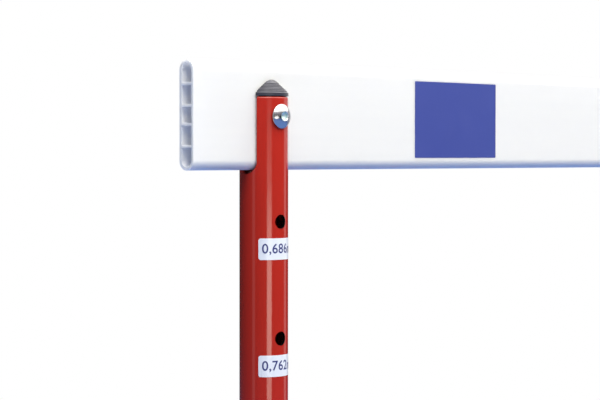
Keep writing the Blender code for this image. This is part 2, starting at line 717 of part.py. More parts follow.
def make_knob(side, carrier):
    """A pull knob with a waist for two fingers, pressed on the pin's rod."""
    radius = KNOB_DIAMETER / 2
    neck_radius = KNOB_NECK_DIAMETER / 2
    head_length = KNOB_LENGTH / 2
    knob_end = KNOB_START_PARKED + KNOB_LENGTH
    head_middle = knob_end - head_length / 2
    edge = head_length / 2
    hub_end = KNOB_START_PARKED + KNOB_LENGTH / 5
    bore_end = KNOB_START_PARKED + PIN_ROD_IN_KNOB + FIT
    head = arc_profile(radius - edge, head_middle, edge, 90, -90)
    profile = [(0, knob_end)] + head + [
        (neck_radius, hub_end + KNOB_LENGTH / 5),
        (neck_radius, hub_end),
        (neck_radius + KNOB_LENGTH / 20, KNOB_START_PARKED),
        (rod_hole_in_knob(), KNOB_START_PARKED),
        (rod_hole_in_knob(), bore_end),
        (0, bore_end),
    ]
    knob = turned(f"{side}_plunger_knob", profile,
                  make_material(f"{side}_knob_plastic", **BLACK_PLASTIC), sides=SMALL_SIDES)
    place(knob, carrier.location, TO_FRONT, carrier)


def rod_hole_in_knob():
    return PIN_ROD_DIAMETER / 2 + FIT


def make_spring(side, x):
    """A coil round the rod, between the pin's shoulder and the sleeve's end wall."""
    wire_radius = SPRING_WIRE_DIAMETER / 2
    coil_radius = (SLEEVE_BORE_RADIUS + PIN_ROD_DIAMETER / 2) / 2
    start = PIN_SHOULDER_PARKED + FIT + wire_radius
    rise = SPRING_LENGTH_PARKED - SPRING_WIRE_DIAMETER
    points_per_turn = 8
    count = SPRING_TURNS * points_per_turn + 1
    curve = bpy.data.curves.new(f"{side}_spring_wire", "CURVE")
    curve.dimensions = "3D"
    curve.bevel_depth = wire_radius
    curve.bevel_resolution = 1
    curve.use_fill_caps = True
    spline = curve.splines.new("POLY")
    spline.points.add(count - 1)
    for index, point in enumerate(spline.points):
        turn = math.tau * index / points_per_turn
        height = start + rise * index / (count - 1)
        point.co = (coil_radius * math.cos(turn), coil_radius * math.sin(turn), height, 1)
    spring = mesh_from_curve(
        f"{side}_plunger_spring", curve, make_material(f"{side}_spring_steel", **SPRING_STEEL)
    )
    place(spring, (x, UPRIGHT_Y, PIN_HEIGHT), TO_FRONT)


# Feet, end caps, pads, cross tube and gussets

def foot_outline(inset=0.0):
    """The foot tube's rounded rectangle, or one that lies inside it by an inset."""
    half = FOOT_HEIGHT / 2 - inset
    radius = FOOT_CORNER_RADIUS - inset
    return rounded_rectangle(FOOT_WIDTH - 2 * inset, -half, half, radius, radius, CORNER_STEPS)


def foot_section():
    return [foot_outline(), foot_outline(FOOT_WALL)]


PAD_PLACES = (
    ("front", PAD_FROM_FOOT_END - FOOT_LENGTH / 2),
    ("rear", FOOT_LENGTH / 2 - PAD_FROM_FOOT_END),
)


def make_foot(side, x):
    name = f"{side}_foot_tube"
    foot = prism(name, foot_section(), FOOT_LENGTH, make_material(name + "_paint", **RED_PAINT))
    place(foot, (x, 0, FOOT_MIDDLE), TO_FRONT)
    holes = rods(
        name + "_pad_holes", PAD_STEM_DIAMETER / 2 + FIT, -FOOT_HEIGHT / 2, FOOT_HEIGHT / 2,
        [(0, y) for end, y in PAD_PLACES],
    )
    as_cutter(holes, (x, 0, FOOT_BOTTOM))
    combine(foot, holes)


def make_end_cap(side, x, end, y_sign):
    """A moulded cap: a flange with soft edges, and a plug inside the foot tube."""
    name = f"{side}_{end}_end_cap"
    flange = prism(name, [foot_outline()], END_CAP_FLANGE - FIT,
                   make_material(name + "_plastic", **BLACK_PLASTIC))
    face = FOOT_LENGTH / 2 + FIT
    flange_y = y_sign * (FOOT_LENGTH / 2 + (END_CAP_FLANGE + FIT) / 2)
    rotation = TO_FRONT if y_sign < 0 else TO_REAR
    place(flange, (x, flange_y, FOOT_MIDDLE), rotation)
    soften_front_edge(flange, (END_CAP_FLANGE - FIT) / 2)
    plug_length = END_CAP_PLUG + FIT
    plug = prism(name + "_plug", [foot_outline(FOOT_WALL + FIT)], plug_length, None, CUTTERS)
    plug_middle = face + END_CAP_FLANGE / 4 - plug_length / 2
    as_cutter(plug, (x, y_sign * plug_middle, FOOT_MIDDLE), rotation)
    combine(flange, plug, "UNION")


def soften_front_edge(piece, front):
    """Bevels the edges round the face at the given height of the piece's own Z."""
    shape = bmesh.new()
    shape.from_mesh(piece.data)
    rim = [
        edge for edge in shape.edges
        if all(abs(vertex.co.z - front) < 1e-6 for vertex in edge.verts)
        and len(edge.link_faces) == 2
        and edge.calc_face_angle() > math.radians(60)
    ]
    bmesh.ops.bevel(
        shape, geom=rim, offset=END_CAP_EDGE_RADIUS, segments=2, profile=0.5, affect="EDGES",
        clamp_overlap=True,
    )
    shape.to_mesh(piece.data)
    shape.free()


def make_pad(side, x, end, y):
    """A rubber pad whose barbed stem snaps through the foot's lower wall."""
    radius = PAD_DIAMETER / 2
    stem_radius = PAD_STEM_DIAMETER / 2
    barb_radius = PAD_BARB_DIAMETER / 2
    barb_bottom = FOOT_BOTTOM + FOOT_WALL + FIT
    barb_top = barb_bottom + PAD_BARB_HEIGHT
    pad = turned(f"{side}_{end}_pad", [
        (0, barb_top),
        (stem_radius - PAD_CHAMFER, barb_top),
        (barb_radius, barb_bottom),
        (stem_radius, barb_bottom),
        (stem_radius, PAD_HEIGHT),
        (radius, PAD_HEIGHT),
        (radius, PAD_CHAMFER),
        (radius - PAD_CHAMFER, 0),
        (0, 0),
    ], make_material(f"{side}_{end}_pad_rubber", **BLACK_RUBBER), sides=SMALL_SIDES)
    place(pad, (x, y, 0))


def make_cross_tube():
    """Lies between the feet in line with the uprights, square to them."""
    length = 2 * (UPRIGHT_X - FOOT_WIDTH / 2 - FIT)
    tube = prism("cross_tube", foot_section(), length, make_material("cross_tube_paint", **RED_PAINT))
    place(tube, (0, UPRIGHT_Y, FOOT_MIDDLE), ALONG_X)


def make_gusset(side, x):
    """A steel plate behind the upright, with its inner corner cut off to clear the tube's weld."""
    radius = GUSSET_CORNER_RADIUS
    outline = rounded_outline([
        (GUSSET_NOTCH, 0, 0),
        (GUSSET_LENGTH, 0, 0),
        (GUSSET_LENGTH, GUSSET_LIP, radius),
        (GUSSET_LIP, GUSSET_HEIGHT, radius),
        (0, GUSSET_HEIGHT, 0),
        (0, GUSSET_NOTCH, 0),
    ])
    name = f"{side}_gusset"
    gusset = prism(name, [outline], GUSSET_THICKNESS, make_material(name + "_paint", **RED_PAINT))
    place(gusset, (x, UPRIGHT_Y + OUTER_TUBE_RADIUS + FIT, FOOT_TOP + FIT), ALONG_X)


def settle_shading(piece):
    """Applies a piece's modifiers and shades its round faces smooth."""
    evaluated = piece.evaluated_get(bpy.context.evaluated_depsgraph_get())
    mesh = bpy.data.meshes.new_from_object(evaluated)
    mesh.name = piece.name
    mesh.shade_smooth()
    mesh.set_sharp_from_angle(angle=SMOOTH_ANGLE)
    return mesh


# The upper frame slides on the uprights; each plunger slides along Y

height_axis = make_axis("height_adjust_axis", (0, UPRIGHT_Y, PIN_HEIGHT))
make_crossbar(height_axis)
make_bands(height_axis)
make_cross_tube()

for side_name, side_sign in SIDES:
    upright_x = side_sign * UPRIGHT_X
    make_upper_tube(side_name, upright_x, height_axis)
    make_half_caps(side_name, upright_x, height_axis)
    make_bolt_set(side_name, upright_x, height_axis)
    make_glide(side_name, upright_x, height_axis)
    make_outer_tube(side_name, upright_x)
    make_guide_collar(side_name, upright_x)
    make_boss(side_name, upright_x)
    make_sleeve(side_name, upright_x)
    make_spring(side_name, upright_x)
    plunger_axis = make_axis(f"{side_name}_plunger_axis", (upright_x, UPRIGHT_Y, PIN_HEIGHT))
    make_pin(side_name, plunger_axis)
    make_knob(side_name, plunger_axis)
    make_foot(side_name, upright_x)
    make_gusset(side_name, upright_x)
    for end_name, pad_y in PAD_PLACES:
        make_end_cap(side_name, upright_x, end_name, math.copysign(1, pad_y))
        make_pad(side_name, upright_x, end_name, pad_y)

bpy.context.view_layer.update()
hurdle_pieces = [piece for piece in PIECES.objects if piece.type == "MESH"]
settled = {piece: settle_shading(piece) for piece in hurdle_pieces}
for piece, mesh in settled.items():
    piece.modifiers.clear()
    piece.data = mesh
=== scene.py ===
# %% [markdown]
# # A training hurdle, finished in Blender
#
# The hurdle is a white plastic crossbar that sits in the slotted tops of two red steel tubes. The
# tubes slide in a welded base and are held by two index plungers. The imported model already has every
# piece at its real size. This lesson gives each piece its fine shape and its finish: powder coat,
# extruded plastic, film, zinc plate, rubber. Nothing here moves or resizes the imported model.

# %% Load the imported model
import math

import bpy
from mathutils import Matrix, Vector


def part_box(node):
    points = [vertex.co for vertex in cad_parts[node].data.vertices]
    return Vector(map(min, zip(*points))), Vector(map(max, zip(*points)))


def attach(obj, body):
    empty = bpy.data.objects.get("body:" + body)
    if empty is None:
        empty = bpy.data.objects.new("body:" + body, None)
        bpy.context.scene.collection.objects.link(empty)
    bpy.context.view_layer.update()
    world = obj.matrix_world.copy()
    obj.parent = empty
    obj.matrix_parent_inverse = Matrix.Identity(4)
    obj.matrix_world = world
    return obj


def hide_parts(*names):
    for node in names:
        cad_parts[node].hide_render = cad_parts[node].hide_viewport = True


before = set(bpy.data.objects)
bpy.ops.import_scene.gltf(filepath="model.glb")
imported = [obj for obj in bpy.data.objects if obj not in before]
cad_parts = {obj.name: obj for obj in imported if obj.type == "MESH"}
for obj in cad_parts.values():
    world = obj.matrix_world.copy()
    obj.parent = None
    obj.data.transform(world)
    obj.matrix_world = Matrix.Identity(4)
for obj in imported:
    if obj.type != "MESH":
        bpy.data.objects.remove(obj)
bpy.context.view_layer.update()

# %% [markdown]
# ## Places and sizes
#
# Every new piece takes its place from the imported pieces, so both stay in step. The box of a packed
# piece gives the outer size, and the few sizes that a box can't show, such as a wall, are written
# here once, as real sizes in metres.

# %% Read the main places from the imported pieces
bar_low, bar_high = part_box("crossbar")
bar_size = bar_high - bar_low
bar_middle = (bar_low + bar_high) / 2
tube_low, tube_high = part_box("left_upper_tube")
tube_radius = (tube_high.y - tube_low.y) / 2
upright = Vector(((tube_low.x + tube_high.x) / 2, (tube_low.y + tube_high.y) / 2, 0))
to_right_side = Vector((-2 * upright.x, 0, 0))
print("bar", [round(v * 1000, 1) for v in bar_size], "mm, tube radius", round(tube_radius * 1000, 1))

# %% Walls, clearances and edges that the boxes don't show
tube_wall = 0.002
bolt_radius = 0.004
hole_clearance = 0.0003
setting_hole_radius = 0.00465
setting_pitch = 0.0762
first_hole_below_bar = 0.0336
setting_count = 6
seat_gap = 0.00002
round_sides = 128
hole_heights = [bar_low.z - first_hole_below_bar - k * setting_pitch for k in range(setting_count)]
print("holes at", [round(height, 4) for height in hole_heights])

# %% [markdown]
# ## The camera
#
# The picture was taken from the hurdle's front left, a little below the top of the bar, with a long
# lens. The lens and the place come from matching the bar's corners, the adjusting holes and the
# bolt to the picture, so the drawing's lines fall on the picture's lines.

# %% Set up the camera
bpy.ops.object.camera_add(
    location=(-1.36657, -1.10358, 0.8552),
    rotation=(math.radians(88.55), math.radians(-0.05), math.radians(-45.29)),
)
camera = bpy.context.object
camera.name = "picture_camera"
camera.data.lens = 109.46
camera.data.sensor_width = 36
camera.data.clip_start = 0.05
bpy.context.scene.camera = camera
print("camera looks along", [round(v, 3) for v in camera.matrix_world.to_3x3() @ Vector((0, 0, -1))])

# %% [markdown]
# ## Colours and nodes
#
# Colours are written as sRGB hex values, the way a paint card or a picture editor gives them, and
# one function turns them to the linear values that Blender's nodes want. One more function adds a
# node with its settings and links, so that each material reads as a short recipe.

# %% Two helpers for materials


def linear(hex_colour):
    """Turns an sRGB hex value into the linear colour that nodes use."""
    parts = [int(hex_colour[i:i + 2], 16) / 255 for i in (1, 3, 5)]
    return [v / 12.92 if v <= 0.04045 else ((v + 0.055) / 1.055) ** 2.4 for v in parts] + [1.0]


def add_node(material, kind, values=None, links=None, **settings):
    """Adds a node, sets its options and input values, and links its inputs."""
    node = material.node_tree.nodes.new(kind)
    for option, value in settings.items():
        setattr(node, option, value)
    for socket, value in (values or {}).items():
        node.inputs[socket].default_value = value
    for socket, source in (links or {}).items():
        material.node_tree.links.new(source, node.inputs[socket])
    return node


def new_material(name):
    """An empty node material that reads the piece's own coordinates."""
    material = bpy.data.materials.new(name)
    material.use_nodes = True
    material.node_tree.nodes.clear()
    place = add_node(material, "ShaderNodeTexCoord").outputs["Object"]
    return material, place


def finish_material(material, values, links):
    """Puts the Principled shader and the output on a recipe."""
    shader = add_node(material, "ShaderNodeBsdfPrincipled", values, links)
    add_node(material, "ShaderNodeOutputMaterial", links={"Surface": shader.outputs["BSDF"]})
    print("material", material.name, "with", len(material.node_tree.nodes), "nodes")
    return material


def per_metre(millimetres):
    """The scale of a noise pattern whose grains are this many millimetres apart."""
    return 1000 / millimetres


def grain(material, place, apart_mm, detail):
    """A noise pattern whose grains are some millimetres apart, as heights from 0 to 1."""
    noise = add_node(
        material, "ShaderNodeTexNoise", {"Scale": per_metre(apart_mm), "Detail": detail}, {"Vector": place}
    )
    return noise.outputs["Fac"]


def mottle(material, place, light, dark, grain_mm):
    """Two close shades that run into each other over a distance given in millimetres."""
    mix = add_node(
        material, "ShaderNodeMix", {6: linear(dark), 7: linear(light)},
        {0: grain(material, place, grain_mm, 3.0)}, data_type="RGBA",
    )
    return mix.outputs[2]


def uneven(material, place, low, high, grain_mm):
    """A value that wanders between two limits, for roughness."""
    spread = add_node(
        material, "ShaderNodeMapRange",
        {"From Min": 0.3, "From Max": 0.7, "To Min": low, "To Max": high},
        {"Value": grain(material, place, grain_mm, 4.0)},
    )
    return spread.outputs["Result"]


def bumps(material, height, depth_mm, strength, under=None):
    """Turns a pattern into bumps of a real depth, on top of another bump if there is one."""
    links = {"Height": height}
    if under:
        links["Normal"] = under
    bump = add_node(
        material, "ShaderNodeBump", {"Strength": strength, "Distance": depth_mm / 1000}, links
    )
    return bump.outputs["Normal"]


# %% [markdown]
# ## Red powder coat
#
# All the steel tubes are powder coated: dry paint is sprayed on, then melted in an oven. It flows
# out glossy but never quite flat, so a close look shows a faint orange peel, with dimples one to two
# millimetres apart. The coat gives the eye a deep red with a clear, tight reflection over it.

# %% Mix the red powder coat
red_coat, place = new_material("red_powder_coat_on_steel")
red_waves = bumps(red_coat, grain(red_coat, place, 14, 1.0), 0.05, 0.12)
finish_material(
    red_coat,
    {"IOR": 1.5},
    {
        "Base Color": mottle(red_coat, place, "#B1291F", "#AA261C", 30),
        "Roughness": uneven(red_coat, place, 0.09, 0.14, 9),
        "Normal": bumps(red_coat, grain(red_coat, place, 1.6, 1.0), 0.02, 0.25, red_waves),
    },
)

# %% [markdown]
# ## White PVC
#
# The crossbar is extruded: warm plastic is pushed through a die and cooled as it is drawn off. The
# die leaves very fine lines along the bar and the cooling leaves long, soft waves. The noise is
# stretched along X for both, so the lines run the way the plastic did. Light also goes some
# millimetres into the plastic, so it has subsurface scattering, which softens its shading.

# %% Mix the extruded white plastic
white_pvc, place = new_material("extruded_white_pvc")
mapping = add_node(white_pvc, "ShaderNodeMapping", {"Scale": (0.01, 1, 1)}, {"Vector": place})
drawn = mapping.outputs["Vector"]
long_waves = bumps(white_pvc, grain(white_pvc, drawn, 12, 1.0), 0.06, 0.2)
finish_material(
    white_pvc,
    {"IOR": 1.53, "Subsurface Weight": 0.6, "Subsurface Radius": (0.009, 0.009, 0.0092),
     "Subsurface Scale": 1.0, "Coat Weight": 0.15, "Coat Roughness": 0.2},
    {
        "Base Color": mottle(white_pvc, drawn, "#F6F6F9", "#F2F2F7", 6),
        "Roughness": uneven(white_pvc, place, 0.34, 0.44, 25),
        "Normal": bumps(white_pvc, grain(white_pvc, drawn, 0.9, 2.0), 0.01, 0.25, long_waves),
    },
)

# %% [markdown]
# ## Blue film
#
# The colour bands are cut from self-adhesive vinyl film. It is thin and even in colour, with a soft
# satin sheen, and it takes on a little of the unevenness of the plastic and the glue below it.

# %% Mix the blue film
blue_film, place = new_material("self_adhesive_blue_film")
finish_material(
    blue_film,
    {"IOR": 1.5},
    {
        "Base Color": mottle(blue_film, place, "#374490", "#34418B", 18),
        "Roughness": uneven(blue_film, place, 0.40, 0.50, 12),
        "Normal": bumps(blue_film, grain(blue_film, place, 3.5, 2.0), 0.03, 0.15),
    },
)

# %% [markdown]
# ## Moulded plastics, nylon and rubber
#
# The caps on the tubes are moulded grey polyethylene with a fine grain from the mould. The knobs and
# the end caps are a blacker, smoother plastic, and the guide parts are nylon. Rubber is the roughest
# of them, and floor dust settles in its grain. One recipe with other colours, grain and gloss makes
# them all.

# %% Mix the moulded plastics and the rubber


def moulded(name, light, dark, grain_mm, depth_mm, roughness, subsurface=0.0):
    """Moulded plastic or rubber: mottled colour, mould grain and an uneven gloss."""
    material, place = new_material(name)
    return finish_material(
        material,
        {"IOR": 1.5, "Subsurface Weight": subsurface, "Subsurface Radius": (0.002, 0.002, 0.002),
         "Subsurface Scale": 1.0},
        {
            "Base Color": mottle(material, place, light, dark, 5 * grain_mm),
            "Roughness": uneven(material, place, roughness[0], roughness[1], 8 * grain_mm),
            "Normal": bumps(material, grain(material, place, grain_mm, 3.0), depth_mm, 0.5),
        },
    )


grey_plastic = moulded("moulded_dark_grey_polyethylene", "#373743", "#2A2A35", 0.8, 0.04, (0.32, 0.42))
black_plastic = moulded("moulded_black_plastic", "#28282B", "#1D1D20", 0.7, 0.03, (0.35, 0.5))
black_nylon = moulded("moulded_black_nylon", "#262628", "#1B1B1D", 0.9, 0.02, (0.38, 0.5))
natural_nylon = moulded("moulded_natural_nylon", "#D2CFC4", "#C6C2B5", 1.2, 0.02, (0.4, 0.55), 0.2)
black_rubber = moulded("moulded_black_rubber", "#37363A", "#242326", 0.6, 0.06, (0.75, 0.95))

# %% [markdown]
# ## Zinc plate and spring steel
#
# The bolts, washers, nuts and plungers are zinc plated and passivated, which gives bright metal a
# thin clear skin with a touch of blue and straw colour. It is a mirror with a slight haze, so its
# look comes mostly from what it reflects. The pressed sockets of the bolts are duller, and their
# pale teal colour, brighter than the other zinc, is a painted reflection of the lit socket floor.
# The walls of the setting holes are near-black metal, as painted shade inside the holes, and the
# springs are drawn wire, a little rougher.

# %% Mix the metals


def bright_metal(name, cool, warm, roughness, tint_mm=4.0):
    """Plated or drawn steel with a faint drift of tint and haze."""
    material, place = new_material(name)
    return finish_material(
        material,
        {"Metallic": 1.0},
        {
            "Base Color": mottle(material, place, warm, cool, tint_mm),
            "Roughness": uneven(material, place, roughness[0], roughness[1], 3),
            "Normal": bumps(material, grain(material, place, 1.1, 3.0), 0.01, 0.15),
        },
    )


# The socket zinc is rougher, which is real. Its pale teal colour, brighter than the dome's zinc, is a
# painted reflection of the lit socket floor.
socket_zinc_painted_reflection = bright_metal("dull_zinc_with_painted_reflection_in_sockets", "#D8E8E6", "#CCDCDC", (0.5, 0.65))
# Painted shade: near-black metal on the walls of the setting holes stands in for the shade inside them.
hole_wall_painted_shade = bright_metal("painted_shade_on_hole_walls", "#202123", "#191A1C", (0.45, 0.6))
zinc_plate = bright_metal("zinc_plated_steel", "#9EA8A7", "#B0A5AD", (0.14, 0.22))
spring_steel = bright_metal("drawn_spring_steel", "#A2A3A8", "#B0AFAC", (0.24, 0.34), 2.0)

# %% [markdown]
# ## Label film and ink
#
# The height labels are white polyester film with rounded corners, printed in dark blue. The film is
# smooth and glossy. The ink lies on it as a thin, slightly duller layer that is a little uneven.

# %% Mix the label film and its ink
label_film = moulded("white_polyester_label", "#E4E7EF", "#DCE0EA", 2.5, 0.01, (0.22, 0.32))
label_ink = moulded("dark_blue_printing_ink", "#34397A", "#2B306A", 1.2, 0.01, (0.35, 0.45))

# %% [markdown]
# ## Working on one piece at a time
#
# Blender's operators act on whatever is selected. So every step starts by deselecting everything,
# taking one piece, and picking its vertices, edges or faces by their place. These helpers do what a
# hand does in the window: take, pick, modify, cut, round the edges, seat, and turn on a lathe.

# %% Helpers for taking and picking


def clear_hands():
    """Leaves edit mode and deselects everything, before a primitive is added."""
    active = bpy.context.view_layer.objects.active
    if active and active.mode != "OBJECT":
        bpy.ops.object.mode_set(mode="OBJECT")
    bpy.ops.object.select_all(action="DESELECT")


def take(piece):
    """Leaves edit mode and makes one piece the only selected and active one."""
    clear_hands()
    piece.select_set(True)
    bpy.context.view_layer.objects.active = piece


def pick(piece, kind, wanted):
    """In edit mode, selects the vertices, edges or faces whose points all pass a test."""
    take(piece)
    bpy.ops.object.mode_set(mode="EDIT")
    bpy.ops.mesh.select_mode(type=kind)
    bpy.ops.mesh.select_all(action="DESELECT")
    bpy.ops.object.mode_set(mode="OBJECT")
    mesh = piece.data
    points = [vertex.co for vertex in mesh.vertices]
    items = {"VERT": mesh.vertices, "EDGE": mesh.edges, "FACE": mesh.polygons}[kind]
    for item in items:
        corners = [item.index] if kind == "VERT" else item.vertices
        item.select = wanted([points[i] for i in corners])
    bpy.ops.object.mode_set(mode="EDIT")


def pick_all(piece):
    """In edit mode, selects everything."""
    take(piece)
    bpy.ops.object.mode_set(mode="EDIT")
    bpy.ops.mesh.select_mode(type="VERT")
    bpy.ops.mesh.select_all(action="SELECT")


def done():
    """Leaves edit mode."""
    bpy.ops.object.mode_set(mode="OBJECT")


def modify(piece, kind, **settings):
    """Adds a modifier, sets it and applies it."""
    take(piece)
    modifier = piece.modifiers.new(kind.lower(), kind)
    for setting, value in settings.items():
        setattr(modifier, setting, value)
    bpy.ops.object.modifier_apply(modifier=modifier.name)


def cut(piece, cutter, operation="DIFFERENCE"):
    """Cuts, joins or intersects a piece with another shape, which is used up."""
    modify(piece, "BOOLEAN", object=cutter, operation=operation, solver="EXACT")
    bpy.data.objects.remove(cutter)


def round_edges(piece, width, segments=2, angle=50):
    """Rounds every edge that is sharper than an angle, as paint, tumbling or a mould does."""
    modify(
        piece, "BEVEL", width=width, segments=segments, limit_method="ANGLE",
        angle_limit=math.radians(angle), harden_normals=False,
    )


def tidy_faces(piece, distance=0.000002):
    """Merges points that fell together and points every face outwards."""
    pick_all(piece)
    bpy.ops.mesh.remove_doubles(threshold=distance)
    bpy.ops.mesh.normals_make_consistent(inside=False)
    done()


# %% Helpers that put a piece in its place and add the first shapes


def settle(piece):
    """Puts a piece's place, turn and size in its mesh."""
    take(piece)
    bpy.ops.object.transform_apply(location=True, rotation=True, scale=True)
    return piece


def seat(piece, location, rotation=(0, 0, 0)):
    """Turns and moves a piece, and settles it there."""
    piece.rotation_euler = rotation
    piece.location = location
    return settle(piece)


def block(low, high):
    """A box between two corners."""
    clear_hands()
    size = Vector(high) - Vector(low)
    bpy.ops.mesh.primitive_cube_add(size=1, location=(Vector(high) + Vector(low)) / 2, scale=size)
    return settle(bpy.context.object)


def rod(radius, start, end, sides=48):
    """A round bar between two points."""
    clear_hands()
    start, end = Vector(start), Vector(end)
    turn = (end - start).to_track_quat("Z", "Y").to_euler()
    bpy.ops.mesh.primitive_cylinder_add(
        vertices=sides, radius=radius, depth=(end - start).length,
        location=(start + end) / 2, rotation=turn,
    )
    return settle(bpy.context.object)


def turn_on_lathe(rings, sides=64, closed=False):
    """Extrudes a circle upwards from ring to ring, scaling it to each radius. A ring of radius 0
    ends in a point, and a closed profile comes back to its first ring."""
    clear_hands()
    radius, height = rings[0]
    fill = "NOTHING" if closed else "NGON"
    bpy.ops.mesh.primitive_circle_add(
        vertices=sides, radius=radius, fill_type=fill, location=(0, 0, height)
    )
    piece = settle(bpy.context.object)
    pick_all(piece)
    for next_radius, next_height in rings[1:]:
        bpy.ops.mesh.extrude_edges_move(
            TRANSFORM_OT_translate={"value": (0, 0, next_height - height)}
        )
        if next_radius == 0:
            bpy.ops.mesh.merge(type="CENTER")
        else:
            share = next_radius / radius
            bpy.ops.transform.resize(value=(share, share, 1), center_override=(0, 0, next_height))
        radius, height = next_radius, next_height
    if radius > 0 and not closed:
        bpy.ops.mesh.edge_face_add()
    done()
    tidy_faces(piece, 0.000001)
    return piece


def arc(centre_radius, centre_height, radius, start, end, steps):
    """Ring sizes along a quarter or so of a circle, from one angle to another in degrees."""
    angles = [math.radians(start + (end - start) * k / steps) for k in range(steps + 1)]
    return [(centre_radius + radius * math.cos(a), centre_height + radius * math.sin(a)) for a in angles]


def sheet(width, height, corner, corner_steps):
    """A flat sheet round the origin with slightly rounded corners."""
    clear_hands()
    bpy.ops.mesh.primitive_plane_add(size=1)
    piece = bpy.context.object
    piece.scale = (width, height, 1)
    settle(piece)
    pick_all(piece)
    bpy.ops.mesh.bevel(offset=corner, segments=corner_steps, affect="VERTICES")
    done()
    return piece


# %% Helpers that hand a finished piece over


def smooth(piece):
    """Smooth shading that keeps hard edges hard and large flat faces flat."""
    take(piece)
    bpy.ops.object.shade_smooth_by_angle(angle=math.radians(32))
    modify(piece, "WEIGHTED_NORMAL", keep_sharp=True, weight=100)


def hand_over(piece, name, body, material, stands_for=()):
    """Names and paints a piece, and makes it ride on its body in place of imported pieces."""
    take(piece)
    piece.name = name
    piece.data.name = name
    piece.data.materials.clear()
    piece.data.materials.append(material)
    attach(piece, body)
    if stands_for:
        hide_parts(*stands_for)
    print(name, "rides on", body, "with", len(piece.data.polygons), "faces")


def twins(piece, name, body, material, stands_for=(), ending="_finished", move=to_right_side):
    """Hands over a piece of the left upright, and a copy of it for the right one."""
    smooth(piece)
    bpy.ops.object.duplicate()
    copy = bpy.context.object
    seat(copy, move)
    for side, one in (("left", piece), ("right", copy)):
        nodes = [f"{side}_{node}" for node in stands_for]
        hand_over(one, f"{side}_{name}{ending}", body.format(side=side), material, nodes)


def second_finish(piece_name, material, wanted):
    """Gives the faces of both twins whose centres pass a test another material."""
    for side, across in (("left", 0), ("right", to_right_side.x)):
        mesh = bpy.data.objects[f"{side}_{piece_name}"].data
        mesh.materials.append(material)
        for face in mesh.polygons:
            if wanted(face.center - Vector((upright.x + across, upright.y, 0))):
                face.material_index = 1


# These turns point the lathe's axis, or a flat sheet's face, to the front or to the rear.
facing_front = (math.radians(90), 0, 0)
facing_rear = (math.radians(90), 0, math.radians(180))

# %% [markdown]
# ## The crossbar
#
# The bar is a hollow extrusion, 70 mm high and 13 mm thick, with fully round edges and four webs
# that part it into five chambers. It is made as a block whose long edges are bevelled by half the
# thickness, and the chambers are cut through it. The bolts pass the middle chamber, which is less
# high than the other four. The saw leaves crisp ends, so only a hair of an edge is broken there.

# %% Shape the bar and its round edges


def runs_along_bar(points):
    """Tells whether an edge runs the whole length of the bar."""
    return abs(points[0].x - points[1].x) > bar_size.x / 2


crossbar = block(bar_low, bar_high)
pick(crossbar, "EDGE", runs_along_bar)
bpy.ops.mesh.bevel(offset=bar_size.y / 2, segments=16, affect="EDGES", clamp_overlap=False)
done()
tidy_faces(crossbar)
print("bar outline has", len(crossbar.data.vertices) // 2, "points")

# %% Cut the five chambers
bar_wall = 0.002
bar_web = 0.0016
bolt_chamber_height = 0.0103
chamber_half_width = bar_size.y / 2 - bar_wall
side_room = bar_size.z - 2 * bar_wall - 4 * bar_web - bolt_chamber_height
chamber_height = side_room / 4
inner_corner = 0.0005
chamber_heights = [chamber_height, chamber_height, bolt_chamber_height, chamber_height, chamber_height]
past_the_ends = bar_size.x * 0.01
level = bar_low.z + bar_wall
for index, height in enumerate(chamber_heights):
    chamber = block(
        (bar_low.x - past_the_ends, bar_middle.y - chamber_half_width, level),
        (bar_high.x + past_the_ends, bar_middle.y + chamber_half_width, level + height),
    )
    round_end = {0: level, 4: level + height}.get(index)
    pick(chamber, "EDGE", lambda p: runs_along_bar(p) and abs(p[0].z - (round_end or -1)) < 1e-5)
    bpy.ops.mesh.bevel(offset=chamber_half_width, segments=10, affect="EDGES", clamp_overlap=False)
    done()
    tidy_faces(chamber)
    pick(chamber, "EDGE", lambda p: runs_along_bar(p)
         and abs(abs(p[0].y - bar_middle.y) - chamber_half_width) < 1e-5
         and min(abs(p[0].z - level), abs(p[0].z - level - height)) < 1e-5)
    bpy.ops.mesh.bevel(offset=inner_corner, segments=3, affect="EDGES")
    done()
    cut(crossbar, chamber)
    level += height + bar_web
print("chambers cut, top wall", round((bar_high.z - level + bar_web) * 1000, 2), "mm")

# %% Drill the bolt holes, break the sawn edges and hand the bar over
bolt_bore = bolt_radius + hole_clearance
past_the_faces = 0.01
for side_x in (upright.x, -upright.x):
    cut(crossbar, rod(bolt_bore, (side_x, bar_low.y - past_the_faces, bar_middle.z),
                      (side_x, bar_high.y + past_the_faces, bar_middle.z)))
round_edges(crossbar, 0.0002, 2, 60)
smooth(crossbar)
hand_over(crossbar, "crossbar_finished", "upper_frame", white_pvc, ["crossbar"])

# %% [markdown]
# ## The colour bands
#
# A band is a rectangle of film, rubbed down on the flat of the bar. It is modelled as a sheet with
# corners that the knife left a little round, then given its thickness. It lies on the bar with a
# gap too small to see, so that the two surfaces never fight for the same place.

# %% Lay the bands on the bar
film_thickness = 0.00012
band_corner = 0.0006
for name, outwards in (("front_left", -1), ("front_right", -1), ("rear_left", 1), ("rear_right", 1)):
    band_low, band_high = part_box(name + "_band")
    band_middle = (band_low + band_high) / 2
    band = sheet(band_high.x - band_low.x, band_high.z - band_low.z, band_corner, 4)
    modify(band, "SOLIDIFY", thickness=film_thickness, offset=1)
    face = bar_middle.y + outwards * (bar_size.y / 2 + seat_gap)
    seat(band, (band_middle.x, face, band_middle.z), facing_front if outwards < 0 else facing_rear)
    smooth(band)
    hand_over(band, name + "_band_film", "upper_frame", blue_film, [name + "_band"])

# %% [markdown]
# ## The upper tubes
#
# Each upper tube is a steel tube with a slot sawn across its top for the bar, a hole for the bolt,
# and six setting holes down its front. The slot is a little wider than the bar and its bottom is
# round, like the bar's lower edge. A tube starts as an open cylinder that gets its wall from a
# solidify modifier. After the cuts, the edges are rounded, because paint draws back from them.

# %% Helpers that make a round tube and drill its front wall


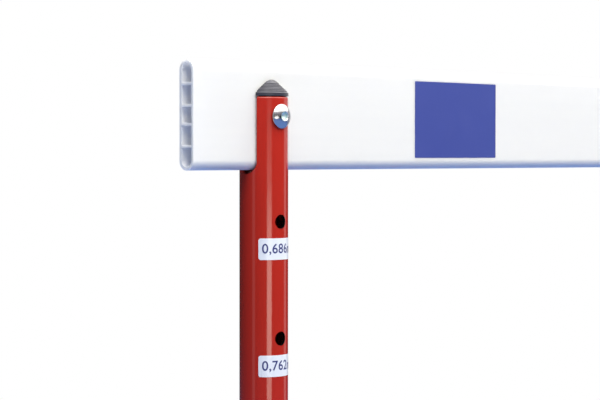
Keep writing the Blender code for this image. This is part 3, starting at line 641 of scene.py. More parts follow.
def round_tube(radius, wall, low, high):
    """A round tube on the left upright's axis between the heights of two corners."""
    clear_hands()
    bpy.ops.mesh.primitive_cylinder_add(
        vertices=round_sides, radius=radius, depth=high.z - low.z, end_fill_type="NOTHING",
        location=(upright.x, upright.y, (high.z + low.z) / 2),
    )
    tube = settle(bpy.context.object)
    modify(tube, "SOLIDIFY", thickness=wall, offset=-1, use_even_offset=True)
    return tube


def drill_front_wall(tube, radius, height):
    """Drills a hole through a tube's front wall, with a drill that stops inside the tube."""
    drill_start = upright.y - 0.03
    drill_end = upright.y - 0.006
    cut(tube, rod(radius, (upright.x, drill_start, height), (upright.x, drill_end, height)))


# %% Shape the tube and its slot
upper_tube = round_tube(tube_radius, tube_wall, tube_low, tube_high)
slot_half_width = bar_size.y / 2 + 0.0013
gap_below_bar = 0.0025
slot = block(
    (upright.x - 2 * tube_radius, upright.y - slot_half_width, bar_low.z - gap_below_bar),
    (upright.x + 2 * tube_radius, upright.y + slot_half_width, bar_high.z),
)
pick(slot, "EDGE", lambda p: abs(p[0].x - p[1].x) > tube_radius and p[0].z < bar_low.z)
bpy.ops.mesh.bevel(offset=slot_half_width, segments=20, affect="EDGES", clamp_overlap=False)
done()
tidy_faces(slot)
cut(upper_tube, slot)
print("slot is", round(slot_half_width * 2000, 1), "mm wide")

# %% Drill the bolt hole and the setting holes
cut(upper_tube, rod(bolt_bore, (upright.x, upright.y - 0.03, bar_middle.z),
                    (upright.x, upright.y + 0.03, bar_middle.z)))
for height in hole_heights:
    drill_front_wall(upper_tube, setting_hole_radius, height)
top_round = 0.0014
pick(upper_tube, "EDGE", lambda p: all(
    abs(v.z - tube_high.z) < 1e-6 and (v - upright).to_2d().length > tube_radius - 1e-4 for v in p))
bpy.ops.mesh.bevel(offset=top_round, segments=6, affect="EDGES")
done()
round_edges(upper_tube, 0.00025, 2, 50)
twins(upper_tube, "upper_tube", "upper_frame", red_coat, ["upper_tube"])

# %% Paint shade on the walls of the setting holes


def in_setting_hole(centre):
    """Tells whether a face centre, seen from the upright, lies on the wall of a setting hole."""
    from_axis = min(math.hypot(centre.x, centre.z - height) for height in hole_heights)
    on_wall = abs(from_axis - setting_hole_radius) < 0.0001
    return on_wall and -centre.y < math.sqrt(tube_radius ** 2 - centre.x ** 2) - 0.0002


second_finish("upper_tube_finished", hole_wall_painted_shade, in_setting_hole)

# %% [markdown]
# ## The half caps
#
# A ridged plastic cone closes each tube. It is moulded whole and sawn open for the bar, so a half
# sits in front of the bar and a half behind it. The cone is turned on the lathe with shallow
# rings, a rim that stands a hair proud of the tube, and a plug below, and then bisected.

# %% Turn the ridged cone with its rim and plug
cap_low, cap_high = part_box("left_front_half_cap")
cap_gap = 0.0003
tube_top = tube_high.z + cap_gap
rim_radius = tube_radius + 0.0002
rim_height = 0.0024
cone_height = 0.0152
cone_base = tube_top + rim_height
plug_radius = tube_radius - tube_wall - cap_gap
plug_depth = tube_high.z - cap_low.z
ridge_count = 6
ridge_height = 0.0004
groove = 0.00025
plain_tip = 0.0100
slope = cone_height / rim_radius
plug_taper = 0.0006
rings = [
    (plug_radius - plug_taper, cap_low.z), (plug_radius, tube_top), (rim_radius, tube_top),
    (rim_radius, cone_base - ridge_height),
]
for ridge in range(ridge_count - 1, -1, -1):
    radius = plain_tip + (rim_radius - plain_tip) * ridge / ridge_count
    height = cone_base + (rim_radius - radius) * slope
    if ridge < ridge_count - 1:
        rings += [(radius + groove, height - ridge_height - groove / 2)]
    rings += [(radius, height - ridge_height - groove), (radius, height)]
rings.append((0, cone_base + cone_height))
cap = turn_on_lathe(rings, round_sides)
round_edges(cap, 0.00008, 2, 15)
seat(cap, (upright.x, upright.y, 0))
print("cap plug reaches", round(plug_depth * 1000, 1), "mm into the tube")

# %% Saw the cone into a front and a rear half
cap_cut = upright.y - cap_high.y
for face, side_sign in (("front", -1), ("rear", 1)):
    take(cap)
    bpy.ops.object.duplicate()
    half = bpy.context.object
    pick_all(half)
    bpy.ops.mesh.bisect(
        plane_co=(upright.x, upright.y + side_sign * cap_cut, tube_top), plane_no=(0, -side_sign, 0),
        use_fill=True, clear_outer=True,
    )
    done()
    tidy_faces(half)
    twins(half, face + "_half_cap", "upper_frame", grey_plastic, [face + "_half_cap"])
bpy.data.objects.remove(cap)

# %% [markdown]
# ## Bolts, washers and cap nuts
#
# A button head bolt goes through the tube and the bar. Its low dome has a hexagon socket, and it
# works as a tiny convex mirror, so its roundness has to be clean. A washer and a cap nut close it at
# the back. Each is turned or pressed in one piece, which the lathe helper and a few cuts follow.

# %% Helpers that make a hexagon and chamfer its corners


def hexagon(across_flats, bottom, height):
    """A hexagonal prism on the lathe's axis."""
    clear_hands()
    bpy.ops.mesh.primitive_cylinder_add(
        vertices=6, radius=across_flats / 2 / math.cos(math.radians(30)), depth=height,
        location=(0, 0, bottom + height / 2),
    )
    return settle(bpy.context.object)


def chamfered_hexagon(across_flats, bottom, height, chamfer):
    """A hexagon that keeps what lies inside a barrel, so that its corners are taken off at both ends.
    The barrel's cones run on past the ends, so that none of its faces lies on one of the hexagon's."""
    prism = hexagon(across_flats, bottom, height)
    widest = across_flats / 2 / math.cos(math.radians(30)) + 0.0001
    past_the_end = 0.0005
    narrowest = widest - 2 * (chamfer + past_the_end)
    top = bottom + height
    cut(prism, turn_on_lathe([(narrowest, bottom - past_the_end), (widest, bottom + chamfer),
                              (widest, top - chamfer), (narrowest, top + past_the_end)]), "INTERSECT")
    return prism


# %% Turn the bolt
head_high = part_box("left_crossbar_bolt")[1]
head_seat = tube_radius + cap_gap
head_radius = 0.008
head_height = 0.0037
head_edge = 0.0006
tip_chamfer = 0.0008
bolt_end = head_high.y - upright.y
rise = head_height - head_edge
dome_radius = (head_radius ** 2 + rise ** 2) / (2 * rise)
dome_start = math.degrees(math.acos(head_radius / dome_radius))
dome = arc(0, head_seat + head_height - dome_radius, dome_radius, dome_start + 2, 88, 12)
bolt = turn_on_lathe([
    (bolt_radius - tip_chamfer, -bolt_end), (bolt_radius, tip_chamfer - bolt_end), (bolt_radius, head_seat),
    (head_radius - 0.0003, head_seat), (head_radius, head_seat + 0.0002),
    (head_radius, head_seat + head_edge - 0.0002), (head_radius - 0.0001, head_seat + head_edge + 0.0001),
] + dome + [(0, head_seat + head_height)], 96)
print("bolt reaches", round(bolt_end * 1000, 1), "mm behind the upright's axis")

# %% Press the socket, with a drilled floor and a countersunk mouth
head_top = head_seat + head_height
socket_depth = 0.0022
socket_radius = 0.0025
cut(bolt, hexagon(2 * socket_radius, head_top - socket_depth, 2 * socket_depth))
floor_level = head_top - socket_depth
drill_radius = 0.0023
drill_cone = 0.0009
cut(bolt, turn_on_lathe([
    (drill_radius, floor_level + 0.0003), (drill_radius, floor_level - 0.00003),
    (0, floor_level - drill_cone)]))
mouth_depth = 0.00138
narrow_radius, wide_radius = 0.0022, 0.0036
cut(bolt, turn_on_lathe([(narrow_radius, head_top - mouth_depth), (wide_radius, head_top + 0.00002)], 96))
round_edges(bolt, 0.00012, 3, 50)
seat(bolt, (upright.x, upright.y, bar_middle.z), facing_front)
twins(bolt, "crossbar_bolt", "upper_frame", zinc_plate, ["crossbar_bolt"])

# %% Give the pressed socket its duller finish and its painted reflection


def in_socket(centre):
    """Tells whether a face centre, seen from the upright, lies in the bolt's socket."""
    from_axis = math.hypot(centre.x, centre.z - bar_middle.z)
    return head_seat - 0.0005 < -centre.y < head_top - 0.0006 and from_axis < 1.16 * socket_radius


second_finish("crossbar_bolt_finished", socket_zinc_painted_reflection, in_socket)

# %% Turn the washer
washer_low, washer_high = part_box("left_crossbar_washer")
washer_back, washer_front = upright.y - washer_high.y, upright.y - washer_low.y
washer_radius = 0.008
washer = turn_on_lathe([(bolt_bore, washer_back), (bolt_bore, washer_front), (washer_radius, washer_front),
                        (washer_radius, washer_back), (bolt_bore, washer_back)], closed=True)
round_edges(washer, 0.0002)
seat(washer, (upright.x, upright.y, bar_middle.z), facing_front)
twins(washer, "crossbar_washer", "upper_frame", zinc_plate, ["crossbar_washer"])

# %% Press the cap nut: a chamfered hexagon, a dome on it and a blind bore
nut_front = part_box("left_crossbar_cap_nut")[0].y
nut_across_flats = 0.013
nut_hexagon_height = 0.0065
nut_dome_height = 0.0085
nut_dome_radius = 0.0061
nut_bore_depth = 0.011
nut = chamfered_hexagon(nut_across_flats, 0, nut_hexagon_height, 0.0007)
dome_start_level = nut_hexagon_height + nut_dome_height - nut_dome_radius
cut(nut, turn_on_lathe([(nut_dome_radius, nut_hexagon_height / 2), (nut_dome_radius, dome_start_level)]
                       + arc(0, dome_start_level, nut_dome_radius, 8, 84, 10)
                       + [(0, nut_hexagon_height + nut_dome_height)]), "UNION")
cut(nut, rod(bolt_bore, (0, 0, -0.001), (0, 0, nut_bore_depth), 32))
round_edges(nut, 0.00015, 2, 40)
seat(nut, (upright.x, nut_front, bar_middle.z), (math.radians(-90), 0, 0))
twins(nut, "crossbar_cap_nut", "upper_frame", zinc_plate, ["crossbar_cap_nut"])

# %% [markdown]
# ## Height labels
#
# Below each setting hole sits a white label with the height of the bar for that hole, in metres. A
# label is a small sheet that follows the round tube. The sheet and its figures are laid out flat,
# cut into narrow strips so that they can bend, and wrapped with a simple deform modifier whose angle
# is the sheet's width over the tube's radius. The figures are real shapes too, so they stay sharp.

# %% A helper that wraps a flat piece round the tube


def wrap_on_tube(piece, radius):
    """Cuts a flat, centred piece into strips and bends it round a tube whose axis lies behind it."""
    take(piece)
    strip_width = 0.0008
    half = piece.dimensions.x / 2
    count = max(2, round(2 * half / strip_width))
    for k in range(1, count):
        pick_all(piece)
        bpy.ops.mesh.bisect(plane_co=(2 * half * k / count - half, 0, 0), plane_no=(1, 0, 0))
        done()
    modify(piece, "SIMPLE_DEFORM", deform_method="BEND", deform_axis="Z", angle=2 * half / radius)


# %% Lay out, wrap and stick on the labels
label_width, label_height, label_thickness = 0.0317, 0.0140, 0.00008
label_corner = 0.0016
label_below_hole = 0.0177
figure_height = 0.0065
ink_thickness = 0.00003
height_to_size = 0.73  # height of a figure as a share of the letter size
lowest_height = 0.686
for k, height in enumerate(hole_heights):
    label = sheet(label_width, label_height, label_corner, 5)
    seat(label, (0, 0, 0), facing_front)
    wrap_on_tube(label, tube_radius)
    modify(label, "SOLIDIFY", thickness=label_thickness, offset=1)
    seat(label, (upright.x, upright.y - tube_radius - seat_gap, height - label_below_hole))
    twins(label, f"height_label_{k + 1}", "upper_frame", label_film, ending="")

    clear_hands()
    bpy.ops.object.text_add()
    figures = bpy.context.object
    figures.data.body = f"{lowest_height + k * setting_pitch:.3f}m".replace(".", ",")
    figures.data.align_x = "CENTER"
    figures.data.align_y = "CENTER"
    figures.data.size = figure_height / height_to_size
    figures.data.space_character = 1.04
    figures.data.offset = 0.00010
    figures.data.resolution_u = 4
    bpy.ops.object.convert(target="MESH")
    seat(figures, (0, 0, 0), facing_front)
    wrap_on_tube(figures, tube_radius + label_thickness)
    modify(figures, "SOLIDIFY", thickness=ink_thickness, offset=1)
    outside = upright.y - tube_radius - label_thickness - 2 * seat_gap
    seat(figures, (upright.x, outside, height - label_below_hole))
    twins(figures, f"height_figures_{k + 1}", "upper_frame", label_ink, ending="")

# %% [markdown]
# ## Weld beads
#
# The base is welded up before it is painted, so its beads show under the coat as a row of
# overlapping scales. A bead is a thin curve along the joint whose radius swells and narrows once for
# every scale, which is quicker and cleaner than sculpting it.

# %% Helpers that lay a bead along a path
scale_length = 0.0026
bead_step = scale_length / 5
swell = 0.08
tube_bead_radius, gusset_bead_radius = 0.0019, 0.0015
cross_bead_radius, boss_bead_radius = 0.0016, 0.0014


def weld_bead(points, radius, closed=True):
    """A rippled bead along a path of points, as a mesh."""
    clear_hands()
    curve = bpy.data.curves.new("bead", "CURVE")
    curve.dimensions = "3D"
    curve.bevel_depth = radius
    curve.bevel_resolution = 3
    curve.use_fill_caps = not closed
    path = curve.splines.new("POLY")
    path.points.add(len(points) - 1)
    path.use_cyclic_u = closed
    run = 0.0
    for index, point in enumerate(points):
        run += (Vector(point) - Vector(points[index - 1])).length if index else 0.0
        path.points[index].co = (*point, 1)
        path.points[index].radius = 1 - swell + swell * math.cos(math.tau * run / scale_length)
    bead = bpy.data.objects.new("bead", curve)
    bpy.context.scene.collection.objects.link(bead)
    take(bead)
    bpy.ops.object.convert(target="MESH")
    tidy_faces(bpy.context.object, 0.00001)
    return bpy.context.object


def ring_points(centre, radius):
    """Points round a level circle, close enough to shape the scales."""
    count = round(math.tau * radius / bead_step)
    return [
        (centre[0] + radius * math.cos(math.tau * k / count),
         centre[1] + radius * math.sin(math.tau * k / count), centre[2])
        for k in range(count)
    ]


# %% [markdown]
# ## The outer tubes
#
# The upper tubes slide in wider tubes that stand on the feet. Each has a sawn and deburred rim, one
# hole for the plunger's pin, and a bead all round its foot.

# %% Shape the outer tubes and weld them to the feet
outer_low, outer_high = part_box("left_outer_tube")
collar_low, collar_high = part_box("left_guide_collar")
outer_radius = (collar_high.y - collar_low.y) / 2
outer_wall = 0.0015
pin_low, pin_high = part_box("left_plunger_pin")
pin_height = (pin_low.z + pin_high.z) / 2
pin_hole_radius = 0.0048
outer_tube = round_tube(outer_radius, outer_wall, outer_low, outer_high)
drill_front_wall(outer_tube, pin_hole_radius, pin_height)
round_edges(outer_tube, 0.0003, 2, 50)
twins(outer_tube, "outer_tube", "base", red_coat, ["outer_tube"])

bead_offset = 0.0004
foot_weld = weld_bead(
    ring_points((upright.x, upright.y, outer_low.z + bead_offset), outer_radius + bead_offset),
    tube_bead_radius,
)
twins(foot_weld, "outer_tube_weld", "base", red_coat, ending="")

# %% [markdown]
# ## The guide collars
#
# A nylon collar sits in each outer tube's rim, and its flange covers the raw edge. It guides the
# upper tube with little play. It is a ring with a soft outer edge and a small lead-in.

# %% Turn the guide collars
sleeve_radius = outer_radius - outer_wall - cap_gap
flange_bottom = outer_high.z + cap_gap
collar_play = 0.0003
collar_bore = tube_radius + collar_play
flange_round = 0.0008
flange_break = 0.0003
lead_in = 0.0005
collar = turn_on_lathe(
    [(sleeve_radius, collar_low.z), (sleeve_radius, flange_bottom),
     (outer_radius - flange_break, flange_bottom), (outer_radius, flange_bottom + flange_break)]
    + arc(outer_radius - flange_round, collar_high.z - flange_round, flange_round, 0, 90, 5)
    + [(collar_bore + lead_in, collar_high.z), (collar_bore, collar_high.z - lead_in),
       (collar_bore, collar_low.z), (sleeve_radius, collar_low.z)], round_sides, closed=True)
seat(collar, (upright.x, upright.y, 0))
drill_front_wall(collar, pin_hole_radius, pin_height)
twins(collar, "guide_collar", "base", black_nylon, ["guide_collar"])

# %% [markdown]
# ## The index plungers
#
# A plunger is a sprung pin in a threaded sleeve. Its knob is pulled to free the upper tube, the
# height is changed, and the pin snaps into the next hole. The sleeve is screwed into a boss that is
# welded on the outer tube. The boss has a saddle end that fits the round tube, which comes from
# cutting it with a rod of the tube's size.

# %% Turn the boss and cut its saddle
boss_low, boss_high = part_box("left_plunger_boss")
boss_radius = (boss_high.z - boss_low.z) / 2
boss_end = upright.y - boss_low.y
boss_bore = 0.0083
boss_start = 0.006  # inside the tube, where the saddle cut takes it away
boss = turn_on_lathe([(boss_bore, boss_start), (boss_radius, boss_start), (boss_radius, boss_end),
                      (boss_bore, boss_end), (boss_bore, boss_start)], 96, closed=True)
seat(boss, (upright.x, upright.y, pin_height), facing_front)
cut(boss, rod(outer_radius + cap_gap, (upright.x, upright.y, pin_height - 0.03),
              (upright.x, upright.y, pin_height + 0.03), round_sides))
round_edges(boss, 0.0003, 2, 50)
twins(boss, "plunger_boss", "base", red_coat, ["plunger_boss"])

# %% Weld the boss on, along a circle that is pressed onto the round tube
beside_boss = 0.0006
saddle = []
for across, up, _ in ring_points((0, 0, 0), boss_radius + beside_boss):
    from_axis = math.sqrt(outer_radius ** 2 - across ** 2) + bead_offset
    saddle.append((upright.x + across, upright.y - from_axis, pin_height + up))
boss_weld = weld_bead(saddle, boss_bead_radius)
twins(boss_weld, "plunger_boss_weld", "base", red_coat, ending="")

# %% Turn the sleeve
sleeve_box_low, sleeve_box_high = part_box("left_plunger_sleeve")
sleeve_start, sleeve_end = upright.y - sleeve_box_high.y, upright.y - sleeve_box_low.y
barrel_radius = 0.008
pin_radius = 0.0043
sleeve_bore = pin_radius + hole_clearance
rod_radius = 0.0025
rod_bore = rod_radius + hole_clearance
end_wall = 0.0025
first_chamfer, last_chamfer = 0.0005, 0.0008
sleeve = turn_on_lathe([
    (sleeve_bore, sleeve_start), (barrel_radius - first_chamfer, sleeve_start),
    (barrel_radius, sleeve_start + first_chamfer), (barrel_radius, sleeve_end - last_chamfer),
    (barrel_radius - last_chamfer, sleeve_end), (rod_bore, sleeve_end),
    (rod_bore, sleeve_end - end_wall), (sleeve_bore, sleeve_end - end_wall),
    (sleeve_bore, sleeve_start)], closed=True)
print("sleeve bore", round(sleeve_bore * 2000, 1), "mm")

# %% Join the hexagon to the sleeve
sleeve_across_flats = 0.019
hexagon_start = boss_end + cap_gap
hexagon_height = 0.006
sleeve_hexagon = chamfered_hexagon(sleeve_across_flats, hexagon_start, hexagon_height, 0.0008)
cut(sleeve_hexagon, rod(sleeve_bore + 0.001, (0, 0, hexagon_start - 0.001),
                        (0, 0, hexagon_start + hexagon_height + 0.001)))
cut(sleeve, sleeve_hexagon, "UNION")
round_edges(sleeve, 0.0002, 2, 40)
seat(sleeve, (upright.x, upright.y, pin_height), facing_front)
twins(sleeve, "plunger_sleeve", "base", zinc_plate, ["plunger_sleeve"])

# %% Turn the pin
pin_tip, rod_end = upright.y - pin_high.y, upright.y - pin_low.y
shoulder = pin_tip + 0.016
tip_taper = 0.0014
rod_chamfer = 0.0004
pin = turn_on_lathe(
    [(pin_radius - tip_taper, pin_tip), (pin_radius - 0.001, pin_tip + 0.0002),
     (pin_radius, pin_tip + tip_taper), (pin_radius, shoulder), (rod_radius, shoulder),
     (rod_radius, rod_end - rod_chamfer), (rod_radius - rod_chamfer, rod_end), (0, rod_end)])
seat(pin, (upright.x, upright.y, pin_height), facing_front)
twins(pin, "plunger_pin", "{side}_plunger", zinc_plate, ["plunger_pin"])

# %% [markdown]
# The knob is moulded, with a waist that two fingers can hook behind and a crown with shallow
# flutes for grip. The round body is turned first, and the flutes are cut with thin rods that
# stand in a ring.

# %% Turn the knob and cut its flutes
knob_low, knob_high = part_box("left_plunger_knob")
knob_start, knob_end = upright.y - knob_high.y, upright.y - knob_low.y
knob_length = knob_end - knob_start
knob_radius = 0.0125
neck_radius = 0.0075
crown_edge = 0.0028
crown_under_edge = 0.0016
crown_bottom = knob_start + knob_length * 0.46
knob_bore_depth = 0.0098
# The rings go from the bore to a small bead at the foot, the waist, the flare and the crown.
knob = turn_on_lathe([
    (rod_bore, knob_start + knob_bore_depth), (rod_bore, knob_start),
    (neck_radius + 0.0006, knob_start), (neck_radius + 0.001, knob_start + 0.0006),
    (neck_radius + 0.0006, knob_start + 0.0016), (neck_radius, knob_start + 0.0036),
    (neck_radius, crown_bottom - 0.0018), (neck_radius + 0.0016, crown_bottom - 0.0004)]
    + arc(knob_radius - crown_under_edge, crown_bottom + crown_under_edge, crown_under_edge, -90, 0, 5)
    + arc(knob_radius - crown_edge, knob_end - crown_edge, crown_edge, 0, 84, 7)
    + [(knob_radius * 0.4, knob_end - 0.00008), (0, knob_end)], 96)
flute_count = 12
flute_radius = 0.0018
flute_ring = knob_radius + 0.0011
for k in range(flute_count):
    angle = math.tau * k / flute_count
    x, y = flute_ring * math.cos(angle), flute_ring * math.sin(angle)
    cut(knob, rod(flute_radius, (x, y, crown_bottom - 0.001), (x, y, knob_end + 0.001), 24))
round_edges(knob, 0.0002, 2, 30)
seat(knob, (upright.x, upright.y, pin_height), facing_front)
twins(knob, "plunger_knob", "{side}_plunger", black_plastic, ["plunger_knob"])

# %% [markdown]
# ## Feet and cross tube
#
# The feet and the cross tube are rectangular steel tube. Its corners are rolled, not sharp, with a
# radius of about twice the wall. A block gets rounded long edges, loses its end faces, and gets its
# wall from solidify, so the open ends show a true wall under the caps.

# %% A helper for rectangular tube, then the feet and the cross tube
section_corner = 0.004
section_wall = 0.002


def rectangular_tube(low, high, axis):
    """Rectangular tube with rolled corners; axis is 0 along X and 1 along Y."""
    length = high[axis] - low[axis]
    tube = block(low, high)
    pick(tube, "EDGE", lambda p: abs(p[0][axis] - p[1][axis]) > length / 2)
    bpy.ops.mesh.bevel(offset=section_corner, segments=8, affect="EDGES")
    done()
    pick(tube, "FACE", lambda p: max(v[axis] for v in p) - min(v[axis] for v in p) < 1e-5)
    bpy.ops.mesh.delete(type="ONLY_FACE")
    done()
    modify(tube, "SOLIDIFY", thickness=section_wall, offset=-1, use_even_offset=True)
    return tube


foot_low, foot_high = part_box("left_foot_tube")
foot = rectangular_tube(foot_low, foot_high, 1)
stem_hole_radius = 0.0053
for pad_name in ("left_front_pad", "left_rear_pad"):
    stem_low, stem_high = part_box(pad_name)
    stem_y = (stem_low.y + stem_high.y) / 2
    cut(foot, rod(stem_hole_radius, (upright.x, stem_y, foot_low.z - 0.01),
                  (upright.x, stem_y, foot_low.z + 0.01)))
round_edges(foot, 0.0002, 2, 60)
twins(foot, "foot_tube", "base", red_coat, ["foot_tube"])

cross_low, cross_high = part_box("cross_tube")
cross_tube = rectangular_tube(cross_low, cross_high, 0)
smooth(cross_tube)
hand_over(cross_tube, "cross_tube_finished", "base", red_coat, ["cross_tube"])

# %% Weld the cross tube to the feet


def along_outline(low, high, x):
    """Points round the cross tube's section at one end, rounded like its corners."""
    middle = (low + high) / 2
    reach_y = (high.y - low.y) / 2 - section_corner
    reach_z = (high.z - low.z) / 2 - section_corner
    points = []
    for sign_y, sign_z, start in ((1, 1, 0), (-1, 1, 90), (-1, -1, 180), (1, -1, 270)):
        corner_y, corner_z = middle.y + sign_y * reach_y, middle.z + sign_z * reach_z
        round_corner = arc(corner_y, corner_z, section_corner, start, start + 90, 8)
        points += [Vector((x, y, z)) for y, z in round_corner]
    dense = []
    for index, point in enumerate(points):
        after = points[(index + 1) % len(points)]
        pieces = max(1, round((after - point).length / bead_step))
        dense += [point.lerp(after, k / pieces) for k in range(pieces)]
    return dense


from_end = 0.0005
cross_outline = along_outline(cross_low, cross_high, cross_low.x + from_end)
to_other_end = (cross_high.x - cross_low.x - 2 * from_end, 0, 0)
twins(weld_bead(cross_outline, cross_bead_radius), "cross_tube_weld", "base", red_coat,
      ending="", move=to_other_end)

# %% [markdown]
# ## Gussets
#
# A steel plate stiffens each upright where it meets its foot. Its shape is already right in the
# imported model, so a copy of that piece is cleaned up and its edges are rounded as paint rounds them.
# The plate is welded on both sides, down the tube and along the foot.

# %% Finish the gussets
gusset_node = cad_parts["left_gusset"]
gusset_low, gusset_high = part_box("left_gusset")
clear_hands()
gusset = bpy.data.objects.new("gusset", gusset_node.data.copy())
bpy.context.scene.collection.objects.link(gusset)
tidy_faces(gusset, 0.00001)
pick_all(gusset)
bpy.ops.mesh.dissolve_limited(angle_limit=math.radians(2))
done()
round_edges(gusset, 0.0006, 3, 40)
twins(gusset, "gusset", "base", red_coat, ["gusset"])

# %% Weld the gussets on both sides, down the tube and along the foot


def straight_path(start, end):
    """Points along a straight line, close enough to shape the scales."""
    steps = 60
    return [Vector(start).lerp(Vector(end), k / steps) for k in range(steps + 1)]


joint_y, joint_z = gusset_low.y + 0.0003, gusset_low.z + 0.0003
stop_short = 0.004
above_foot, behind_tube = 0.008, 0.010
for face, x in (("outer", gusset_low.x - bead_offset), ("inner", gusset_high.x + bead_offset)):
    tube_path = straight_path(
        (x, joint_y, gusset_high.z - stop_short), (x, joint_y, gusset_low.z + above_foot))
    foot_path = straight_path(
        (x, gusset_low.y + behind_tube, joint_z), (x, gusset_high.y - stop_short, joint_z))
    tube_bead = weld_bead(tube_path, gusset_bead_radius, closed=False)
    foot_bead = weld_bead(foot_path, gusset_bead_radius, closed=False)
    for where, bead in (("tube", tube_bead), ("foot", foot_bead)):
        twins(bead, f"gusset_{face}_{where}_weld", "base", red_coat, ending="")

# %% [markdown]
# ## End caps and pads
#
# A moulded cap closes each end of a foot. Its flange has a soft edge and a shallow sunk field, and
# its plug fits inside the tube's wall. Below, four rubber pads stand on the floor: each has rings
# moulded in its underside for grip and a barbed stem that snaps into the foot.

# %% Mould the end caps
cap_edge = 0.0015
cap_flange = 0.0037
cap_edge_steps = 5
field_margin = 0.0016
field_step = 0.0003
for end, outwards in (("front", -1), ("rear", 1)):
    cap_low_corner, cap_high_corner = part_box(f"left_{end}_end_cap")
    flange_face = cap_low_corner.y if outwards < 0 else cap_high_corner.y
    flange_back = flange_face - outwards * cap_flange
    edge_start = flange_face - outwards * cap_edge
    low_y, high_y = sorted((edge_start, flange_back))
    end_cap = block((foot_low.x, low_y, foot_low.z), (foot_high.x, high_y, foot_high.z))
    pick(end_cap, "EDGE", lambda p: abs(p[0].y - p[1].y) > 0.001)
    bpy.ops.mesh.bevel(offset=section_corner, segments=8, affect="EDGES")
    done()
    pick(end_cap, "FACE", lambda p: all(abs(v.y - edge_start) < 1e-5 for v in p))
    turned_in, risen = 0.0, 0.0
    for k in range(1, cap_edge_steps + 1):
        angle = math.radians(90 * k / cap_edge_steps)
        inward, up = cap_edge * (1 - math.cos(angle)), cap_edge * math.sin(angle)
        bpy.ops.mesh.inset(thickness=inward - turned_in, depth=up - risen)
        turned_in, risen = inward, up
    bpy.ops.mesh.inset(thickness=field_margin, depth=0)
    bpy.ops.mesh.inset(thickness=field_step, depth=-field_step)
    done()
    inner = section_wall + cap_gap
    plug_end = cap_high_corner.y if outwards < 0 else cap_low_corner.y
    low_y, high_y = sorted((plug_end, flange_back + outwards * 0.001))
    plug = block((foot_low.x + inner, low_y, foot_low.z + inner),
                 (foot_high.x - inner, high_y, foot_high.z - inner))
    pick(plug, "EDGE", lambda p: abs(p[0].y - p[1].y) > 0.003)
    bpy.ops.mesh.bevel(offset=section_corner - inner, segments=4, affect="EDGES")
    done()
    cut(end_cap, plug, "UNION")
    twins(end_cap, end + "_end_cap", "base", black_plastic, [end + "_end_cap"])

# %% Mould the rubber pads
pad_radius, pad_height = 0.019, 0.008
stem_radius, barb_radius = 0.005, 0.0063
barb_height = 0.003
pad_top_round = 0.0008
grip_groove_depth = 0.0007
groove_bottom, groove_mouth = 0.0003, 0.0006
for end in ("front", "rear"):
    pad_low, pad_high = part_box(f"left_{end}_pad")
    barb_bottom = pad_high.z - barb_height
    rings = [(0.003, 0.0)]
    for grip_groove in (0.006, 0.010, 0.014):
        rings += [
            (grip_groove - groove_mouth, 0.0), (grip_groove - groove_bottom, grip_groove_depth),
            (grip_groove + groove_bottom, grip_groove_depth), (grip_groove + groove_mouth, 0.0),
        ]
    rings += [(pad_radius - 0.001, 0.0), (pad_radius - 0.0003, 0.0003), (pad_radius, 0.001)]
    rings += arc(pad_radius - pad_top_round, pad_height - pad_top_round, pad_top_round, 0, 90, 4)
    rings += [(stem_radius, pad_height), (stem_radius, barb_bottom), (barb_radius, barb_bottom),
              (stem_radius - 0.001, pad_high.z), (0, pad_high.z)]
    pad = turn_on_lathe(rings, 72)
    seat(pad, (upright.x, (pad_low.y + pad_high.y) / 2, 0))
    twins(pad, end + "_pad", "base", black_rubber, [end + "_pad"])

# %% [markdown]
# ## Pieces that stay hidden
#
# The glides in the lower ends of the upper tubes and the springs in the plungers can't be seen from
# outside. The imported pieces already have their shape, so they only get their material.

# %% Give the hidden pieces their material
hidden = {"lower_glide": natural_nylon, "plunger_spring": spring_steel}
for side in ("left", "right"):
    for name, material in hidden.items():
        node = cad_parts[f"{side}_{name}"]
        node.data.materials.clear()
        node.data.materials.append(material)
        print(node.name, "is", material.name)

# %% [markdown]
# ## Floor and light
#
# The hurdle stands in a white studio. The floor is a pale disc that fades out towards its rim, so
# that it melts into the white surroundings. A long soft box above the front, soft boxes above the
# left and the right, a ceiling box and a box behind light the hurdle from all round. A low strip
# with a weaker glow above it draws the bright line on the tubes, and a panel at each side draws the
# soft line near their edges. Each box is given by what it aims at, its direction and its distance.

# %% Lay the floor
clear_hands()
bpy.ops.mesh.primitive_circle_add(vertices=128, radius=4.0, fill_type="NGON", location=(0, 0, 0))
floor = bpy.context.object
floor.name = "studio_floor"
floor_paint, place = new_material("matt_white_studio_floor")
distance = add_node(floor_paint, "ShaderNodeVectorMath", links={0: place}, operation="LENGTH")
fade = add_node(
    floor_paint, "ShaderNodeMapRange", {"From Min": 1.3, "From Max": 3.4, "To Min": 0.0, "To Max": 1.0},
    {"Value": distance.outputs["Value"]}, interpolation_type="SMOOTHSTEP",
)
paint = add_node(
    floor_paint, "ShaderNodeBsdfPrincipled", {"Roughness": 0.9},
    {"Base Color": mottle(floor_paint, place, "#F2F2F4", "#EEEEF1", 400)},
)
clear = add_node(floor_paint, "ShaderNodeBsdfTransparent")
blend = add_node(
    floor_paint, "ShaderNodeMixShader",
    links={"Fac": fade.outputs["Result"], 1: paint.outputs["BSDF"], 2: clear.outputs["BSDF"]},
)
add_node(floor_paint, "ShaderNodeOutputMaterial", links={"Surface": blend.outputs["Shader"]})
floor.data.materials.append(floor_paint)
# The floor neither tints the hurdle nor shows in its gloss.
floor.visible_diffuse = False
floor.visible_glossy = False
print("floor is", round(floor.dimensions.x, 1), "m across")

# %% Set the lights


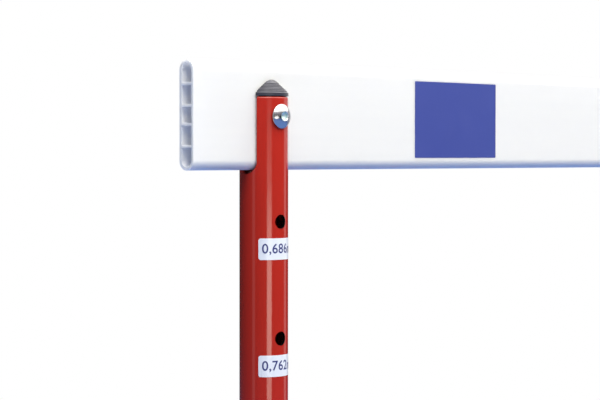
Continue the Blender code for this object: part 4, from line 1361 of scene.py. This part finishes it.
def soft_box(name, aim, azimuth, elevation, away, width, height, radiance, colour="#FFFFFF"):
    """A rectangular light that faces a point. Azimuth 0 is in front and 90 at the left; radiance is
    its brightness as a share of white."""
    a, e = math.radians(azimuth), math.radians(elevation)
    towards = Vector((-math.sin(a) * math.cos(e), -math.cos(a) * math.cos(e), math.sin(e)))
    clear_hands()
    bpy.ops.object.light_add(type="AREA", location=Vector(aim) + towards * away)
    lamp = bpy.context.object
    lamp.name = name
    lamp.rotation_euler = towards.to_track_quat("Z", "Y").to_euler()
    lamp.data.shape = "RECTANGLE"
    lamp.data.size = width
    lamp.data.size_y = height
    lamp.data.color = linear(colour)[:3]
    lamp.data.energy = radiance * math.pi * width * height
    print(name, "at", [round(v, 2) for v in lamp.location])


bar_centre = (0.0, bar_middle.y, bar_middle.z)
tube_aim = (upright.x, upright.y, 0.75)
warm_white = "#FFFBEC"
soft_box("long_soft_box_above_front", bar_centre, 0, 48, 1.5, 3.2, 1.0, 3.75, warm_white)
soft_box("soft_box_above_left", bar_centre, 50, 45, 1.9, 1.6, 1.0, 4.15, warm_white)
soft_box("soft_box_above_right", bar_centre, -80, 42, 1.9, 1.4, 1.4, 2.2, warm_white)
soft_box("panel_at_left", tube_aim, 93, 4, 2.0, 0.5, 2.2, 0.5)
soft_box("ceiling_box", (0, -0.2, 0.4), 0, 89, 2.6, 3.0, 2.4, 3.0)
soft_box("low_strip_at_front", tube_aim, 18, -4.9, 2.4, 0.95, 0.42, 4.8, warm_white)
soft_box("glow_above_low_strip", tube_aim, 18, 2.4, 2.4, 0.95, 0.20, 1.0, warm_white)
soft_box("panel_at_right", tube_aim, -76, 4, 2.6, 0.8, 1.6, 0.9)
soft_box("rear_fill", bar_centre, -150, 30, 3.0, 2.4, 2.0, 2.2, warm_white)

# %% [markdown]
# The surroundings have three looks. The camera sees plain white. Every surface is lit by a dark grey
# room above the horizon and a bluish floor below it. What a surface mirrors has one more glow, which
# grows from the horizon upwards, so the bolt's dome shades softly from the soft boxes to the floor.

# %% Set the surroundings
world = bpy.data.worlds.new("white_studio")
bpy.context.scene.world = world
world.use_nodes = True
world.node_tree.nodes.clear()
direction = add_node(world, "ShaderNodeTexCoord").outputs["Generated"]
height = add_node(world, "ShaderNodeSeparateXYZ", links={"Vector": direction}).outputs["Z"]
share_of_way_up = add_node(
    world, "ShaderNodeMapRange", {"From Min": -1.0, "From Max": 1.0}, {"Value": height}
)
ramp = add_node(world, "ShaderNodeValToRGB", links={"Fac": share_of_way_up.outputs["Result"]})
floor_end, room_end = ramp.color_ramp.elements
floor_end.position, room_end.position = 0.27, 0.45
floor_end.color, room_end.color = linear("#89B4FF"), linear("#3A3C40")
lit = add_node(world, "ShaderNodeBackground", {"Strength": 1.15}, {"Color": ramp.outputs["Color"]})

high = add_node(world, "ShaderNodeMapRange", {"From Min": 0.0, "From Max": 0.42}, {"Value": height})
glow = add_node(
    world, "ShaderNodeMix", {6: linear("#000000"), 7: linear("#D4D0D8")}, {0: high.outputs["Result"]},
    data_type="RGBA",
)
glowing = add_node(world, "ShaderNodeBackground", {"Strength": 1.0}, {"Color": glow.outputs[2]})
lit_and_glow = add_node(world, "ShaderNodeAddShader", links={0: lit.outputs[0], 1: glowing.outputs[0]})
seen = add_node(world, "ShaderNodeBackground", {"Color": (1, 1, 1, 1), "Strength": 1.0})
ray = add_node(world, "ShaderNodeLightPath")
mirrored = add_node(
    world, "ShaderNodeMixShader",
    links={"Fac": ray.outputs["Is Glossy Ray"], 1: lit.outputs[0], 2: lit_and_glow.outputs[0]},
)
shown = add_node(
    world, "ShaderNodeMixShader",
    links={"Fac": ray.outputs["Is Camera Ray"], 1: mirrored.outputs[0], 2: seen.outputs[0]},
)
add_node(world, "ShaderNodeOutputWorld", links={"Surface": shown.outputs["Shader"]})
bpy.context.scene.view_settings.view_transform = "Standard"
print("surroundings set")
